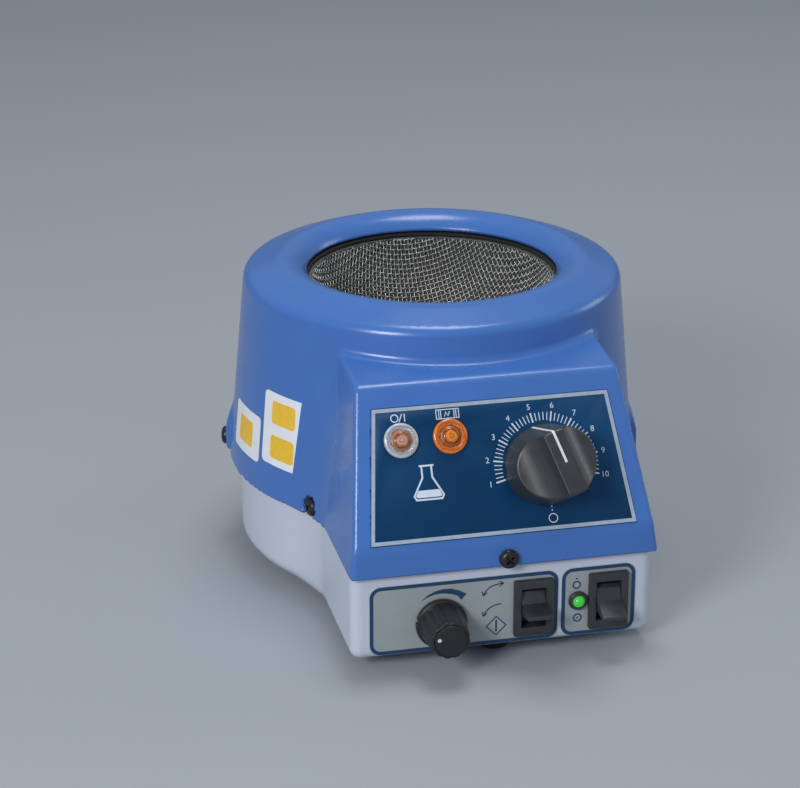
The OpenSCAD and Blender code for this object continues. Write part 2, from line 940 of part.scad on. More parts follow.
module inlet_pins() color([0.8, 0.78, 0.7])
    for (p = pin_places)
        translate([p[0], rear_flat_y - 17 + air, inlet_z + p[1]]) {
            translate([-1, 0, -2])
                cube([2, 15, 4]);
            translate([-0.4, -9, -2.4])
                cube([0.8, 6 - 2 * air, 4.8]);
        }

earth_stud_y = -38;

module earth_stud() color([0.8, 0.65, 0.3])
    translate([0, earth_stud_y, yoke_z - 8]) {
        cylinder(r = 2, h = 8 - air);
        translate([0, 0, 1])
            cylinder(r = 4, h = 2, $fn = 6);
    }

wire_r = 1.1;
sag_r = 125;
inlet_tab_y = rear_flat_y - 26.5;
lead_end = [-35.4, 20];

// A lead that hangs in one arc from an inlet tab to the terminal block
module mains_lead(x, z, end_x) {
    run = [end_x - x, lead_end[0] - inlet_tab_y, lead_end[1] - z];
    half_a = asin(norm(run) / (2 * sag_r));
    translate([x, inlet_tab_y, z])
        rotate([0, acos(run[2] / norm(run)) - 90, atan2(run[1], run[0])])
            translate([norm(run) / 2, 0, sag_r * cos(half_a)])
                rotate([90, 0, 0])
                    rotate([0, 0, -90 - half_a])
                        rotate_extrude(angle = 2 * half_a, $fn = 144)
                            translate([sag_r, 0])
                                circle(r = wire_r, $fn = 24);
}

module live_wire() color([0.45, 0.25, 0.12])
    mains_lead(pin_places[0][0], inlet_z + pin_places[0][1], -5);

module neutral_wire() color([0.15, 0.3, 0.7])
    mains_lead(pin_places[1][0], inlet_z + pin_places[1][1], 5);

module earth_wire() color([0.4, 0.65, 0.2])
    mains_lead(pin_places[2][0], inlet_z + pin_places[2][1], 0.6);

/* ---- circuit board ---- */

board_z = 14;
board_t = 1.6;
board_holes = [[-38, -91], [38, -91], [-38, -39], [38, -39]];
board_top = board_z + board_t + air;

module at_board(z) {
    for (p = board_holes)
        translate([p[0], p[1], z])
            children();
}

module control_board() color([0.15, 0.4, 0.22])
    difference() {
        translate([-42, -95, board_z])
            cube([84, 60, board_t]);
        at_board(board_z - 1)
            cylinder(r = 1.6, h = 4);
    }

module board_standoffs() color([0.75, 0.75, 0.77])
    at_board(base_z + base_wall + air)
        difference() {
            cylinder(r = 3, h = board_z - base_z - base_wall - 2 * air);
            translate([0, 0, 1])
                cylinder(r = 1.3, h = 10);
        }

module board_screws() color([0.7, 0.7, 0.72])
    at_board(board_top)
        pan_screw(2.8, 1.8, 1.3, 6);

module transformer() color([0.25, 0.26, 0.28])
    translate([-34, -90, board_top]) {
        cube([30, 26, 3]);
        translate([4, 2, 3 - eps])
            cube([22, 22, 18]);
        translate([1, 7, 3 - eps])
            cube([28, 12, 15]);
    }

module triac_heatsink() color([0.7, 0.71, 0.73])
    translate([12, -88, board_top]) {
        cube([22, 3, 19]);
        for (i = [0:5])
            translate([i * 4.2, 2.9, 0])
                cube([1, 8, 19]);
    }

module triac() color([0.12, 0.12, 0.13])
    translate([18, -92.6 - air, board_top + 4]) {
        cube([10, 4.6, 10]);
        for (i = [0:2])
            translate([2 + i * 2.5, 2, -4])
                cube([0.8, 0.6, 4.1]);
    }

module capacitors() color([0.2, 0.25, 0.5])
    for (x = [-30, -18, 12, 24])
        translate([x, -56, board_top])
            rotate_extrude()
                polygon([[0, 0], [4.6, 0], [4.6, 1], [5, 1.6], [5, 13.4], [4.4, 14], [0, 14]]);

module terminal_block() color([0.3, 0.55, 0.35])
    difference() {
        translate([-14, -46, board_top])
            cube([28, 10, 11]);
        for (i = [-2:2])
            translate([i * 5, -41, board_top + 6])
                cylinder(r = 1.7, h = 8);
    }

// Puts the middle of the outline over the origin; every size above is taken from the well's axis.
module centred()
    translate([0, outline_y, 0])
        children();

centred() top_cover();
centred() base_tray();
centred() fascia_plate();
centred() lower_label();
centred() side_sticker_large();
centred() side_sticker_small();
centred() rim_gasket();
centred() earth_screen();
centred() heating_cloth();
centred() heater_winding();
centred() insulation();
centred() inner_can();
centred() can_screws();
centred() yoke_plate();
centred() magnet_cores();
centred() coil_bobbins();
centred() coil_windings();
centred() stirrer_pillars();
centred() pillar_screws();
centred() heat_shield();
centred() energy_regulator();
centred() regulator_nut();
centred() regulator_shaft();
centred() heat_knob();
centred() mains_lamp_lens();
centred() heater_lamp_lens();
centred() lamp_bodies();
centred() lamp_clips();
centred() neon_bulbs();
centred() speed_control();
centred() speed_control_nut();
centred() speed_shaft();
centred() speed_knob();
centred() speed_knob_cap();
centred() mode_switch_body();
centred() power_switch_body();
centred() switch_tabs();
centred() mode_rocker();
centred() power_rocker();
centred() indicator_bezel();
centred() green_indicator();
centred() mains_inlet();
centred() inlet_pins();
centred() earth_stud();
centred() live_wire();
centred() neutral_wire();
centred() earth_wire();
centred() control_board();
centred() board_standoffs();
centred() board_screws();
centred() transformer();
centred() triac_heatsink();
centred() triac();
centred() capacitors();
centred() terminal_block();
centred() cover_screws();
centred() rubber_feet();
centred() foot_screws();
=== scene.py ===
"""Looks of the stirring heating mantle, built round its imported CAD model.

Shapes are worked out in millimetres from the well's axis and become metres in the row frame in add_mesh().
Moulded shells are distance functions, meshed by surface nets with normals from the same function.
"""

import json
import math

import bpy
import numpy as np
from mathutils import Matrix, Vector

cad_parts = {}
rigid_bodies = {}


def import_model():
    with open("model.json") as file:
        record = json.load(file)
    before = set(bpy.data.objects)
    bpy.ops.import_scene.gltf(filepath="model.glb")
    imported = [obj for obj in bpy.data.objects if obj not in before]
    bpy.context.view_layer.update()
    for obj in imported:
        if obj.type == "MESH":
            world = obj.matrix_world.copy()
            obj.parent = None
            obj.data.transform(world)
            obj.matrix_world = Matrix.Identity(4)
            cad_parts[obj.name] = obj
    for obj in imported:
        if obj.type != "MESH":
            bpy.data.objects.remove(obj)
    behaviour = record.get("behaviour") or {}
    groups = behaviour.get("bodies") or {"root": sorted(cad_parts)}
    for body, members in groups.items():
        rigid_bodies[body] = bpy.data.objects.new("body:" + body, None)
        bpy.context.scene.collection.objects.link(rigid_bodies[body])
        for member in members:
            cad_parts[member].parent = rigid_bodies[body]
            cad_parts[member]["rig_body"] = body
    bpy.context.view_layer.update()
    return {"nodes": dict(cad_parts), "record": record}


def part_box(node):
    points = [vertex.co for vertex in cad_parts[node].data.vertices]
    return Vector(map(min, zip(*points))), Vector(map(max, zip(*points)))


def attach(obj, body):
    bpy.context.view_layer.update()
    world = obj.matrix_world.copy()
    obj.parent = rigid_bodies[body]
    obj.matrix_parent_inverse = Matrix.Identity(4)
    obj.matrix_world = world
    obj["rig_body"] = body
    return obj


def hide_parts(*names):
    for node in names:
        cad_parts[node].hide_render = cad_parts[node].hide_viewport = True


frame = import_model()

MM = 0.001
HOUSING = "housing"

gasket_lo, gasket_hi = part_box("rim_gasket")
AXIS = np.array([0, (gasket_lo.y + gasket_hi.y) / 2, 0])


def box_mm(node):
    """Lowest and highest corner of a CAD node, in millimetres from the well's axis."""
    lo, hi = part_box(node)
    return (np.array(lo) - AXIS) / MM, (np.array(hi) - AXIS) / MM


# ---------------------------------------------------------------- meshes

def add_mesh(name, verts, faces, body, slot, material=None, normals=None, smooth=True, replaces=()):
    """A piece from millimetre vertices, in its slot's finish unless it has a material of its own."""
    mesh = bpy.data.meshes.new(name)
    mesh.from_pydata((np.asarray(verts) * MM + AXIS).tolist(), [], [list(map(int, f)) for f in faces])
    mesh.polygons.foreach_set("use_smooth", [smooth] * len(mesh.polygons))
    if normals is not None:
        mesh.normals_split_custom_set_from_vertices(normals.tolist())
    mesh.materials.append(material or finishes[slot])
    obj = bpy.data.objects.new(name, mesh)
    bpy.context.scene.collection.objects.link(obj)
    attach(obj, body)
    if replaces:
        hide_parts(*replaces)
    return obj


def join(a, b, r):
    """Union of two distances with a concave round of radius r between them."""
    return np.maximum(r, np.minimum(a, b)) - np.hypot(np.maximum(r - a, 0), np.maximum(r - b, 0))


def meet(a, b, r):
    """Intersection of two distances with a convex round of radius r on the edge."""
    return np.minimum(-r, np.maximum(a, b)) + np.hypot(np.maximum(r + a, 0), np.maximum(r + b, 0))


def turned(a, b, angle):
    """Point turned anticlockwise about the origin."""
    c, s = math.cos(angle), math.sin(angle)
    return a * c - b * s, a * s + b * c


def smooth_step(t, t0, t1):
    """Eases from 0 at t0 to 1 at t1."""
    s = np.clip((t - t0) / (t1 - t0), 0, 1)
    return s * s * (3 - 2 * s)


def gradient(sdf, p, h):
    """Unit gradient of sdf at the points p, by central differences."""
    g = np.empty_like(p)
    for k in range(3):
        step = np.zeros(3)
        step[k] = h
        a, b = p + step, p - step
        g[:, k] = sdf(a[:, 0], a[:, 1], a[:, 2]) - sdf(b[:, 0], b[:, 1], b[:, 2])
    return g / np.maximum(np.linalg.norm(g, axis=1, keepdims=True), 1e-9)


def surface_nets(sdf, lo, hi, cell):
    """Quads of the surface sdf = 0 inside a box, with vertices drawn onto the surface."""
    axes = [np.arange(a - cell, b + 2 * cell, cell) for a, b in zip(lo, hi)]
    value = np.empty([len(a) for a in axes], np.float32)
    yy, zz = np.meshgrid(axes[1], axes[2], indexing="ij")
    for i, x in enumerate(axes[0]):
        value[i] = sdf(np.full_like(yy, x), yy, zz)
    inside = value < 0
    corners = [(i, j, k) for i in (0, 1) for j in (0, 1) for k in (0, 1)]
    nx, ny, nz = (n - 1 for n in value.shape)
    count = sum(inside[i:i + nx, j:j + ny, k:k + nz].astype(np.int8) for i, j, k in corners)
    cells = np.argwhere((count > 0) & (count < 8))
    index = np.full((nx, ny, nz), -1, np.int64)
    index[tuple(cells.T)] = np.arange(len(cells))
    total, hits = np.zeros((len(cells), 3)), np.zeros(len(cells))
    for a in corners:
        for axis in range(3):
            if a[axis]:
                continue
            b = tuple(c + (n == axis) for n, c in enumerate(a))
            va = value[tuple((cells + a).T)]
            vb = value[tuple((cells + b).T)]
            crossed = (va < 0) != (vb < 0)
            t = np.where(crossed, va / np.where(crossed, va - vb, 1), 0)
            point = cells + np.array(a, float)
            point[:, axis] += t
            total[crossed] += point[crossed]
            hits[crossed] += 1
    points = total / hits[:, None] * cell + [a[0] for a in axes]
    for _ in range(3):
        d = sdf(points[:, 0], points[:, 1], points[:, 2])
        points -= np.clip(d, -cell / 2, cell / 2)[:, None] * gradient(sdf, points, cell / 20)
    quads = []
    for axis in range(3):
        u, w = (axis + 1) % 3, (axis + 2) % 3
        first = np.take(inside, range(value.shape[axis] - 1), axis)
        second = np.take(inside, range(1, value.shape[axis]), axis)
        edges = np.argwhere(first != second)
        edges = edges[(edges[:, u] > 0) & (edges[:, w] > 0)
                      & (edges[:, u] < value.shape[u] - 1) & (edges[:, w] < value.shape[w] - 1)]
        ring = []
        for du, dw in ((1, 1), (0, 1), (0, 0), (1, 0)):
            at = edges.copy()
            at[:, u] -= du
            at[:, w] -= dw
            ring.append(index[tuple(at.T)])
        quad = np.stack(ring, 1)
        flip = ~first[tuple(edges.T)]
        quad[flip] = quad[flip][:, ::-1]
        quads.append(quad)
    return points, np.vstack(quads), gradient(sdf, points, cell / 4)


def add_shell(name, sdf, node, cell, body, material=None):
    """Surface of a distance function within a CAD node's box, which replaces that node."""
    points, quads, normals = surface_nets(sdf, *box_mm(node), cell)
    add_mesh(name, points, quads, body, slot_of[node], material, normals, replaces=[node])


def revolve(profile, place, sides=64, ripple=None):
    """Closed mesh of a (radius, height) profile that starts and ends on the axis."""
    turn = np.linspace(0, 2 * np.pi, sides, endpoint=False)
    verts, faces = [place(0, 0, profile[0][1])], []
    for r, h in profile[1:-1]:
        for a in turn:
            dh = ripple(a, r) if ripple else 0
            verts.append(place(r * math.cos(a), r * math.sin(a), h + dh))
    verts.append(place(0, 0, profile[-1][1]))
    rows = len(profile) - 2
    for i in range(sides):
        j = (i + 1) % sides
        faces.append((0, 1 + j, 1 + i))
        for k in range(rows - 1):
            a = 1 + k * sides
            faces.append((a + i, a + j, a + sides + j, a + sides + i))
        a = 1 + (rows - 1) * sides
        faces.append((a + i, a + j, len(verts) - 1))
    return np.array(verts), faces


def bevelled(node, width, segments=2, angle=35):
    """A copy of a CAD node with rounded edges, which replaces it."""
    source = frame["nodes"][node]
    obj = bpy.data.objects.new(node + "_soft", source.data.copy())
    bpy.context.scene.collection.objects.link(obj)
    weld = obj.modifiers.new("weld", "WELD")
    weld.merge_threshold = 1e-6
    flat = obj.modifiers.new("flat", "DECIMATE")
    flat.decimate_type = "DISSOLVE"
    flat.angle_limit = math.radians(0.5)
    soft = obj.modifiers.new("soft", "BEVEL")
    soft.width = width * MM
    soft.segments = segments
    soft.limit_method = "ANGLE"
    soft.angle_limit = math.radians(angle)
    soft.harden_normals = True
    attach(obj, source["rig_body"])
    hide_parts(node)
    obj.data.materials.clear()
    slot = slot_of[node]
    obj.data.materials.append(finishes[slot])
    obj.data.polygons.foreach_set("use_smooth", [True] * len(obj.data.polygons))
    return obj


# ---------------------------------------------------------------- materials

def object_coords(mat, scale=(1, 1, 1), rotate=(0, 0, 0)):
    """Mapped object coordinates for a material's patterns."""
    nodes, links = mat.node_tree.nodes, mat.node_tree.links
    place = nodes.new("ShaderNodeTexCoord")
    mapping = nodes.new("ShaderNodeMapping")
    mapping.inputs["Scale"].default_value = scale
    mapping.inputs["Rotation"].default_value = [math.radians(r) for r in rotate]
    links.new(place.outputs["Object"], mapping.inputs["Vector"])
    return mapping.outputs["Vector"]


def material(name, color, rough=0.45, vary=0.06, scale=90.0, grain=0.0, grain_scale=1500.0,
             metallic=0.0, coat=0.0, specular=0.5, stretch=(1, 1, 1), rough_vary=0.08):
    """Principled material with colour, roughness and surface grain that vary over the piece."""
    mat = bpy.data.materials.new(name)
    mat.use_nodes = True
    nodes, links = mat.node_tree.nodes, mat.node_tree.links
    shader = nodes["Principled BSDF"]
    shader.inputs["Metallic"].default_value = metallic
    shader.inputs["Coat Weight"].default_value = coat
    shader.inputs["Specular IOR Level"].default_value = specular
    place = object_coords(mat, stretch)
    cloud = nodes.new("ShaderNodeTexNoise")
    cloud.inputs["Scale"].default_value = scale
    cloud.inputs["Detail"].default_value = 6
    links.new(place, cloud.inputs["Vector"])
    tint = nodes.new("ShaderNodeValToRGB")
    low, high = tint.color_ramp.elements
    low.position, high.position = 0.3, 0.7
    low.color = [max(c * (1 - vary), 0) for c in color[:3]] + [1]
    high.color = [min(c * (1 + vary), 1) for c in color[:3]] + [1]
    links.new(cloud.outputs["Fac"], tint.inputs["Fac"])
    links.new(tint.outputs["Color"], shader.inputs["Base Color"])
    wear = nodes.new("ShaderNodeMapRange")
    wear.inputs["To Min"].default_value = max(rough - rough_vary, 0.02)
    wear.inputs["To Max"].default_value = min(rough + rough_vary, 1)
    links.new(cloud.outputs["Fac"], wear.inputs["Value"])
    links.new(wear.outputs["Result"], shader.inputs["Roughness"])
    if grain:
        fine = nodes.new("ShaderNodeTexNoise")
        fine.inputs["Scale"].default_value = grain_scale
        fine.inputs["Detail"].default_value = 3
        links.new(place, fine.inputs["Vector"])
        bump = nodes.new("ShaderNodeBump")
        bump.inputs["Strength"].default_value = grain
        bump.inputs["Distance"].default_value = 0.0002
        links.new(fine.outputs["Fac"], bump.inputs["Height"])
        links.new(bump.outputs["Normal"], shader.inputs["Normal"])
    return mat


def add_pattern(mat, kind, scale, color, depth, distance, rotate=(0, 0, 0)):
    """Adds a wave, brick or cell pattern to a material, in colour and relief."""
    nodes, links = mat.node_tree.nodes, mat.node_tree.links
    shader = nodes["Principled BSDF"]
    node_type, output = {"wave": ("ShaderNodeTexWave", "Fac"), "brick": ("ShaderNodeTexBrick", "Fac"),
                         "cells": ("ShaderNodeTexVoronoi", "Distance")}[kind]
    pattern = nodes.new(node_type)
    if kind == "wave":
        pattern.inputs["Distortion"].default_value = 0.6
    pattern.inputs["Scale"].default_value = scale
    links.new(object_coords(mat, rotate=rotate), pattern.inputs["Vector"])
    factor = pattern.outputs[output]
    base = shader.inputs["Base Color"].links[0].from_socket
    mix = nodes.new("ShaderNodeMix")
    mix.data_type = "RGBA"
    mix.inputs[7].default_value = list(color) + [1]
    links.new(factor, mix.inputs[0])
    links.new(base, mix.inputs[6])
    links.new(mix.outputs[2], shader.inputs["Base Color"])
    bump = nodes.new("ShaderNodeBump")
    bump.inputs["Strength"].default_value = depth
    bump.inputs["Distance"].default_value = distance
    links.new(factor, bump.inputs["Height"])
    if shader.inputs["Normal"].links:
        links.new(shader.inputs["Normal"].links[0].from_socket, bump.inputs["Normal"])
    links.new(bump.outputs["Normal"], shader.inputs["Normal"])
    return mat


def glow(mat, color, strength):
    shader = mat.node_tree.nodes["Principled BSDF"]
    shader.inputs["Emission Color"].default_value = list(color) + [1]
    shader.inputs["Emission Strength"].default_value = strength
    return mat


finishes = {
    "cover_blue": material("moulded_blue", (0.052, 0.162, 0.49), 0.27, 0.03, 40, 0.1, 2600, coat=0.12),
    "base_grey": material("moulded_grey", (0.56, 0.61, 0.71), 0.36, 0.03, 40, 0.1, 2600, coat=0.08),
    "plate_blue": material("printed_plate", (0.003, 0.046, 0.13), 0.45, 0.16, 28, 0.05, 3000, specular=0.16),
    "label_grey": material("printed_label", (0.33, 0.37, 0.38), 0.5, 0.04, 120, 0.1, 3500),
    "sticker_white": material("white_vinyl", (0.8, 0.83, 0.87), 0.4, 0.03, 150, 0.05, 3000),
    "knob_black": material("grained_black", (0.036, 0.038, 0.04), 0.34, 0.15, 200, 0.3, 3200, specular=0.6),
    "switch_black": material("switch_black", (0.034, 0.037, 0.043), 0.36, 0.15, 250, 0.15, 3500),
    "rubber_black": material("rubber_black", (0.012, 0.012, 0.013), 0.75, 0.2, 300, 0.5, 2500),
    "screen_steel": material("woven_wire", (0.36, 0.37, 0.36), 0.34, 0.25, 250, 0.3, 2500, metallic=0.8),
    # painted shade: the cream knitted glass cloth is darkened to stand in for the shade in the gaps behind
    # the wire screen
    "cloth_glass": material("knitted_glass_painted_shade", (0.16, 0.15, 0.14), 0.85, 0.25, 300, 0.6, 1800),
    "resistance_wire": material("tinted_wire", (0.35, 0.28, 0.22), 0.4, 0.3, 400, 0.2, 2500, 0.9),
    "packing": material("mineral_wool", (0.74, 0.71, 0.62), 0.95, 0.15, 180, 1.0, 700),
    "sheet_aluminium": material("pressed_sheet", (0.7, 0.71, 0.73), 0.36, 0.06, 60, 0.2, 900,
                                metallic=1.0, stretch=(1, 12, 1)),
    "zinc_steel": material("zinc_plate", (0.6, 0.6, 0.61), 0.32, 0.1, 400, 0.2, 2500, metallic=1.0),
    "black_screw": material("blackened_steel", (0.03, 0.03, 0.033), 0.34, 0.3, 400, 0.2, 2500, metallic=0.5),
    "iron": material("soft_iron", (0.24, 0.24, 0.25), 0.5, 0.15, 300, 0.4, 1500, metallic=0.9),
    "bobbin_nylon": material("natural_nylon", (0.76, 0.74, 0.64), 0.5, 0.05, 150, 0.1, 2500),
    "enamel_copper": material("wound_copper", (0.5, 0.16, 0.05), 0.3, 0.15, 300, 0, metallic=0.7),
    "brass": material("turned_brass", (0.72, 0.54, 0.24), 0.3, 0.1, 300, 0.2, 2000, metallic=1.0),
    "ceramic": material("moulded_ceramic", (0.7, 0.68, 0.6), 0.6, 0.05, 150, 0.4, 1800),
    "lens_clear": material("clear_lens", (0.72, 0.72, 0.74), 0.14, 0.12, 420, 0.15, 1500, coat=0.6),
    "lens_amber": material("amber_lens", (0.82, 0.2, 0.008), 0.14, 0.3, 420, 0.15, 1500, coat=0.6),
    "neon": glow(material("neon_capsule", (0.9, 0.35, 0.15), 0.2, 0.2, 300), (1.0, 0.35, 0.1), 1.2),
    "led_green": glow(material("lit_green", (0.05, 0.5, 0.05), 0.15, 0.25, 500, coat=0.5),
                      (0.06, 0.6, 0.06), 0.35),
    "board_green": material("solder_mask", (0.015, 0.12, 0.045), 0.35, 0.2, 150, 0.2, 1200),
    "core_dark": material("laminated_core", (0.06, 0.06, 0.07), 0.5, 0.2, 200, 0.3, 1500),
    "cap_blue": material("shrunk_sleeve", (0.03, 0.05, 0.19), 0.3, 0.15, 200, 0.1, 2000),
    "block_green": material("terminal_green", (0.06, 0.29, 0.11), 0.45, 0.1, 200, 0.15, 2000),
    "wire_brown": material("brown_insulation", (0.16, 0.055, 0.02), 0.4, 0.1, 300, 0.1, 2000),
    "wire_blue": material("blue_insulation", (0.02, 0.08, 0.42), 0.4, 0.1, 300, 0.1, 2000),
    "wire_earth": material("earth_insulation", (0.14, 0.42, 0.05), 0.4, 0.1, 300, 0.1, 2000),
}
add_pattern(finishes["cloth_glass"], "wave", 420, (0.07, 0.07, 0.065), 0.9, 0.0006, (0, 0, 45))
add_pattern(finishes["enamel_copper"], "wave", 900, (0.2, 0.05, 0.015), 0.7, 0.0003, (0, 90, 0))
add_pattern(finishes["core_dark"], "wave", 900, (0.02, 0.02, 0.022), 0.5, 0.0002)
add_pattern(finishes["board_green"], "brick", 120, (0.03, 0.2, 0.08), 0.3, 0.0001)
add_pattern(finishes["wire_earth"], "wave", 120, (0.6, 0.5, 0.02), 0.0, 0.0001, (0, 0, 90))
add_pattern(finishes["resistance_wire"], "cells", 600, (0.15, 0.1, 0.12), 0.2, 0.0001)

slot_of = {s["node"]: s["material_slot"] for s in frame["record"]["subparts"]}
for node, obj in frame["nodes"].items():
    for i in range(len(obj.material_slots)):
        obj.material_slots[i].link = "OBJECT"
        obj.material_slots[i].material = finishes[slot_of[node]]

silver_print = material("silver_print", (0.42, 0.5, 0.62), 0.35, 0.08, 300, 0.1, 3000, metallic=0.25)
white_print = material("white_print", (0.62, 0.72, 0.84), 0.5, 0.06, 400, 0.1, 3000)
blue_print = material("blue_print", (0.008, 0.048, 0.125), 0.45, 0.12, 300, 0.1, 3000)
amber_print = material("amber_print", (0.86, 0.53, 0.035), 0.45, 0.06, 300, 0.05, 3000)
speed_black = material("speed_black", (0.014, 0.014, 0.015), 0.36, 0.2, 220, 0.35, 3000)
pointer_print = material("pointer_print", (0.75, 0.78, 0.8), 0.5, 0.05, 400, 0.1, 3000)

# ---------------------------------------------------------------- cover

SEAM_Z = 43.0
RIM_R = 88.3
SHOULDER, SHOULDER_R = (76.05, 123.1), 5.0
LIP, LIP_R, LIP_END = (63.5, 121.3), 11.0, math.radians(158)
LIP_EDGE_R = 60.0
WALL = 2.6
SLOPE_A = math.atan2(57.75, 31.5)
SLOPE_FOOT = (-126.0, 54.25)

dx, dz = RIM_R - SHOULDER[0], SHOULDER[1] - SEAM_Z
SIDE_A = math.atan2(dx, dz) - math.asin(SHOULDER_R / math.hypot(dx, dz))
dx, dz = SHOULDER[0] - LIP[0], SHOULDER[1] - LIP[1]
TOP_A = math.atan2(dz, dx) + math.acos((LIP_R - SHOULDER_R) / math.hypot(dx, dz))


def ahead(angle, r, z, center):
    """Positive where (r, z) lies anticlockwise of a direction from a centre."""
    return math.cos(angle) * (z - center[1]) - math.sin(angle) * (r - center[0])


def dome(x, y, z):
    r = np.hypot(x, y)
    side = math.cos(SIDE_A) * (r - SHOULDER[0]) + math.sin(SIDE_A) * (z - SHOULDER[1]) - SHOULDER_R
    top = math.cos(TOP_A) * (r - SHOULDER[0]) + math.sin(TOP_A) * (z - SHOULDER[1]) - SHOULDER_R
    shoulder = np.hypot(r - SHOULDER[0], z - SHOULDER[1]) - SHOULDER_R
    lip = np.hypot(r - LIP[0], z - LIP[1]) - LIP_R
    past_lip = np.where(ahead(TOP_A, r, z, LIP) < 0, top, lip)
    past_side = np.where(ahead(TOP_A, r, z, SHOULDER) < 0, shoulder, past_lip)
    return np.where(ahead(SIDE_A, r, z, SHOULDER) < 0, side, past_side)


def on_slope_coords(y, z):
    """Distance up the sloping face and height above it."""
    dy, dz = y - SLOPE_FOOT[0], z - SLOPE_FOOT[1]
    return (dy * math.cos(SLOPE_A) + dz * math.sin(SLOPE_A),
            -dy * math.sin(SLOPE_A) + dz * math.cos(SLOPE_A))


FRONT_Y, FRONT_LEAN = -127.2, math.atan2(1.2, 11.25)
DECK_EDGE, DECK_RISE = (-94.5, 112.0), math.atan2(2.5, 34.5)
HOUSING_HALF_W, SIDE_TAPER = 63.4, 0.132
HOUSING_BACK_Y = -30.0


def control_housing(x, y, z):
    """Leaning front lip, sloping face, deck and tapered sides of the block before the dome."""
    front = -(y - FRONT_Y) * math.cos(FRONT_LEAN) + (z - SEAM_Z) * math.sin(FRONT_LEAN)
    slope = on_slope_coords(y, z)[1]
    deck = -(y - DECK_EDGE[0]) * math.sin(DECK_RISE) + (z - DECK_EDGE[1]) * math.cos(DECK_RISE)
    sides = (np.abs(x) - (HOUSING_HALF_W - (z - SEAM_Z) * SIDE_TAPER)) / math.hypot(1, SIDE_TAPER)
    d = meet(meet(front, slope, 1.2), deck, 2.0)
    return np.maximum(meet(d, sides, 1.9), y - HOUSING_BACK_Y)


PAD_OUT, PAD_IN, PAD_HALF_W = 90.0, 78.0, 7.5
PAD_TOP_Z, PAD_TOP_A = 57.0, (0.87, 0.493)


def cover_pad(x, y, z, degrees):
    """Flat pad for a side screw: upright face, sloping top."""
    c, s = math.cos(math.radians(degrees)), math.sin(math.radians(degrees))
    out, across = x * c + y * s, y * c - x * s
    pad = meet(out - PAD_OUT, np.abs(across) - PAD_HALF_W, 1.6)
    top = (out - PAD_OUT) * PAD_TOP_A[0] + (z - PAD_TOP_Z) * PAD_TOP_A[1]
    return np.maximum(meet(pad, top, 3), PAD_IN - out)


PAD_ANGLES = (164, -13, 90)
CORNER_SCREWS = ((-65, -60.5, -168), (65, -60.5, -12))
SCREW_Z, SCREW_SEAT_R, SCREW_BOSS_R = 46.6, 4.5, 4.6
LAMPS, LAMP_V, LAMP_HOLE_R = (-38.0, -18.0), 43.0, 5.6
HEAT_KNOB, SHAFT_HOLE_R = (20.0, 28.0), 5.1
HOLE_DEPTH = 9.0
PLATE_V = (2.0, 56.5)
PLATE_HALF_W, PLATE_TAPER = 54.7, 6 / 54.5
RECESS_MARGIN, RECESS_DEPTH = 0.7, 0.8


def cover_outside(x, y, z):
    """Cover's outer surface: the round between dome and housing tightens towards the deck."""
    blend_r = 12 - 9 * smooth_step(z, 88, 110)
    d = join(dome(x, y, z), control_housing(x, y, z), blend_r)
    for degrees in PAD_ANGLES:
        d = join(d, cover_pad(x, y, z, degrees), 1.6)
    return d


def plate_outline(x, v):
    """Distance to the trapezoid of the fascia plate in the plane of the slope."""
    bottom, top = PLATE_V
    sides = (np.abs(x) - (PLATE_HALF_W - (v - bottom) * PLATE_TAPER)) / math.hypot(1, PLATE_TAPER)
    return meet(sides, np.abs(v - (bottom + top) / 2) - (top - bottom) / 2, 1.0)


def cover_sdf(x, y, z):
    outside = cover_outside(x, y, z)
    v, height = on_slope_coords(y, z)
    recess = np.maximum(plate_outline(x, v) + RECESS_MARGIN, -RECESS_DEPTH - height)
    d = np.maximum(np.maximum(outside, -recess), -(outside + WALL))
    r = np.hypot(x, y)
    past_lip = np.minimum(ahead(LIP_END, r, z, LIP), LIP_EDGE_R - r)
    d = meet(meet(d, past_lip, 1.2), SEAM_Z - z, 0.5)
    for cx, cy, degrees in CORNER_SCREWS:
        c, s = math.cos(math.radians(degrees)), math.sin(math.radians(degrees))
        out = (x - cx) * c + (y - cy) * s
        off = np.hypot((y - cy) * c - (x - cx) * s, z - SCREW_Z)
        d = np.minimum(d, np.maximum(np.maximum(off - SCREW_BOSS_R, np.abs(out + 2) - 2), SEAM_Z - z))
        d = np.maximum(d, -np.maximum(off - SCREW_SEAT_R, -out))
    for hx, hv, hr in [(lx, LAMP_V, LAMP_HOLE_R) for lx in LAMPS] + [(*HEAT_KNOB, SHAFT_HOLE_R)]:
        d = np.maximum(d, -np.maximum(np.hypot(x - hx, v - hv) - hr, np.abs(height) - HOLE_DEPTH))
    return d


cell = 1.25
add_shell("moulded_cover", cover_sdf, "top_cover", cell, HOUSING)

# ---------------------------------------------------------------- base

BASE_Z, BASE_R, BASE_HALF_W, BASE_FRONT = 6.0, 84.0, 62.3, -123.6
BASE_WALL = 2.5
REAR_Y = 79.0
DRUM_DRAFT, BOTTOM_EDGE_R, FRONT_EDGE_R, WAIST_R = 0.4, 6, 4.5, 9
REAR_FLAT_T, REAR_FLAT_Z, REAR_FLAT_HALF = 2.5, 25.0, (30.0, 17.0)
UPSTAND_R, UPSTAND_HALF_W, UPSTAND_FRONT = 83.6, 59.2, -123.2
SEAM_GAP, RIM_LAP_Z = 0.3, (37.0, 52.0)
ROCKERS, ROCKER_Z, ROCKER_HALF = (12.2, 43.5), 22.9, (7.0, 11.0)
SPEED, SPEED_HOLE_R = (-26.0, 20.2), 3.6
LED, LED_HOLE_R = (31.0, 23.5), 3.1
INLET_Z, INLET_HALF = 24.0, (13.8, 10.0)
SLOT_PITCH, SLOT_HALF_W, SLOT_TOP_Z = 8.0, 1.5, 11.0
SLOT_FIELD, SLOT_FIELD_HALF = (0, 34), (34, 14)


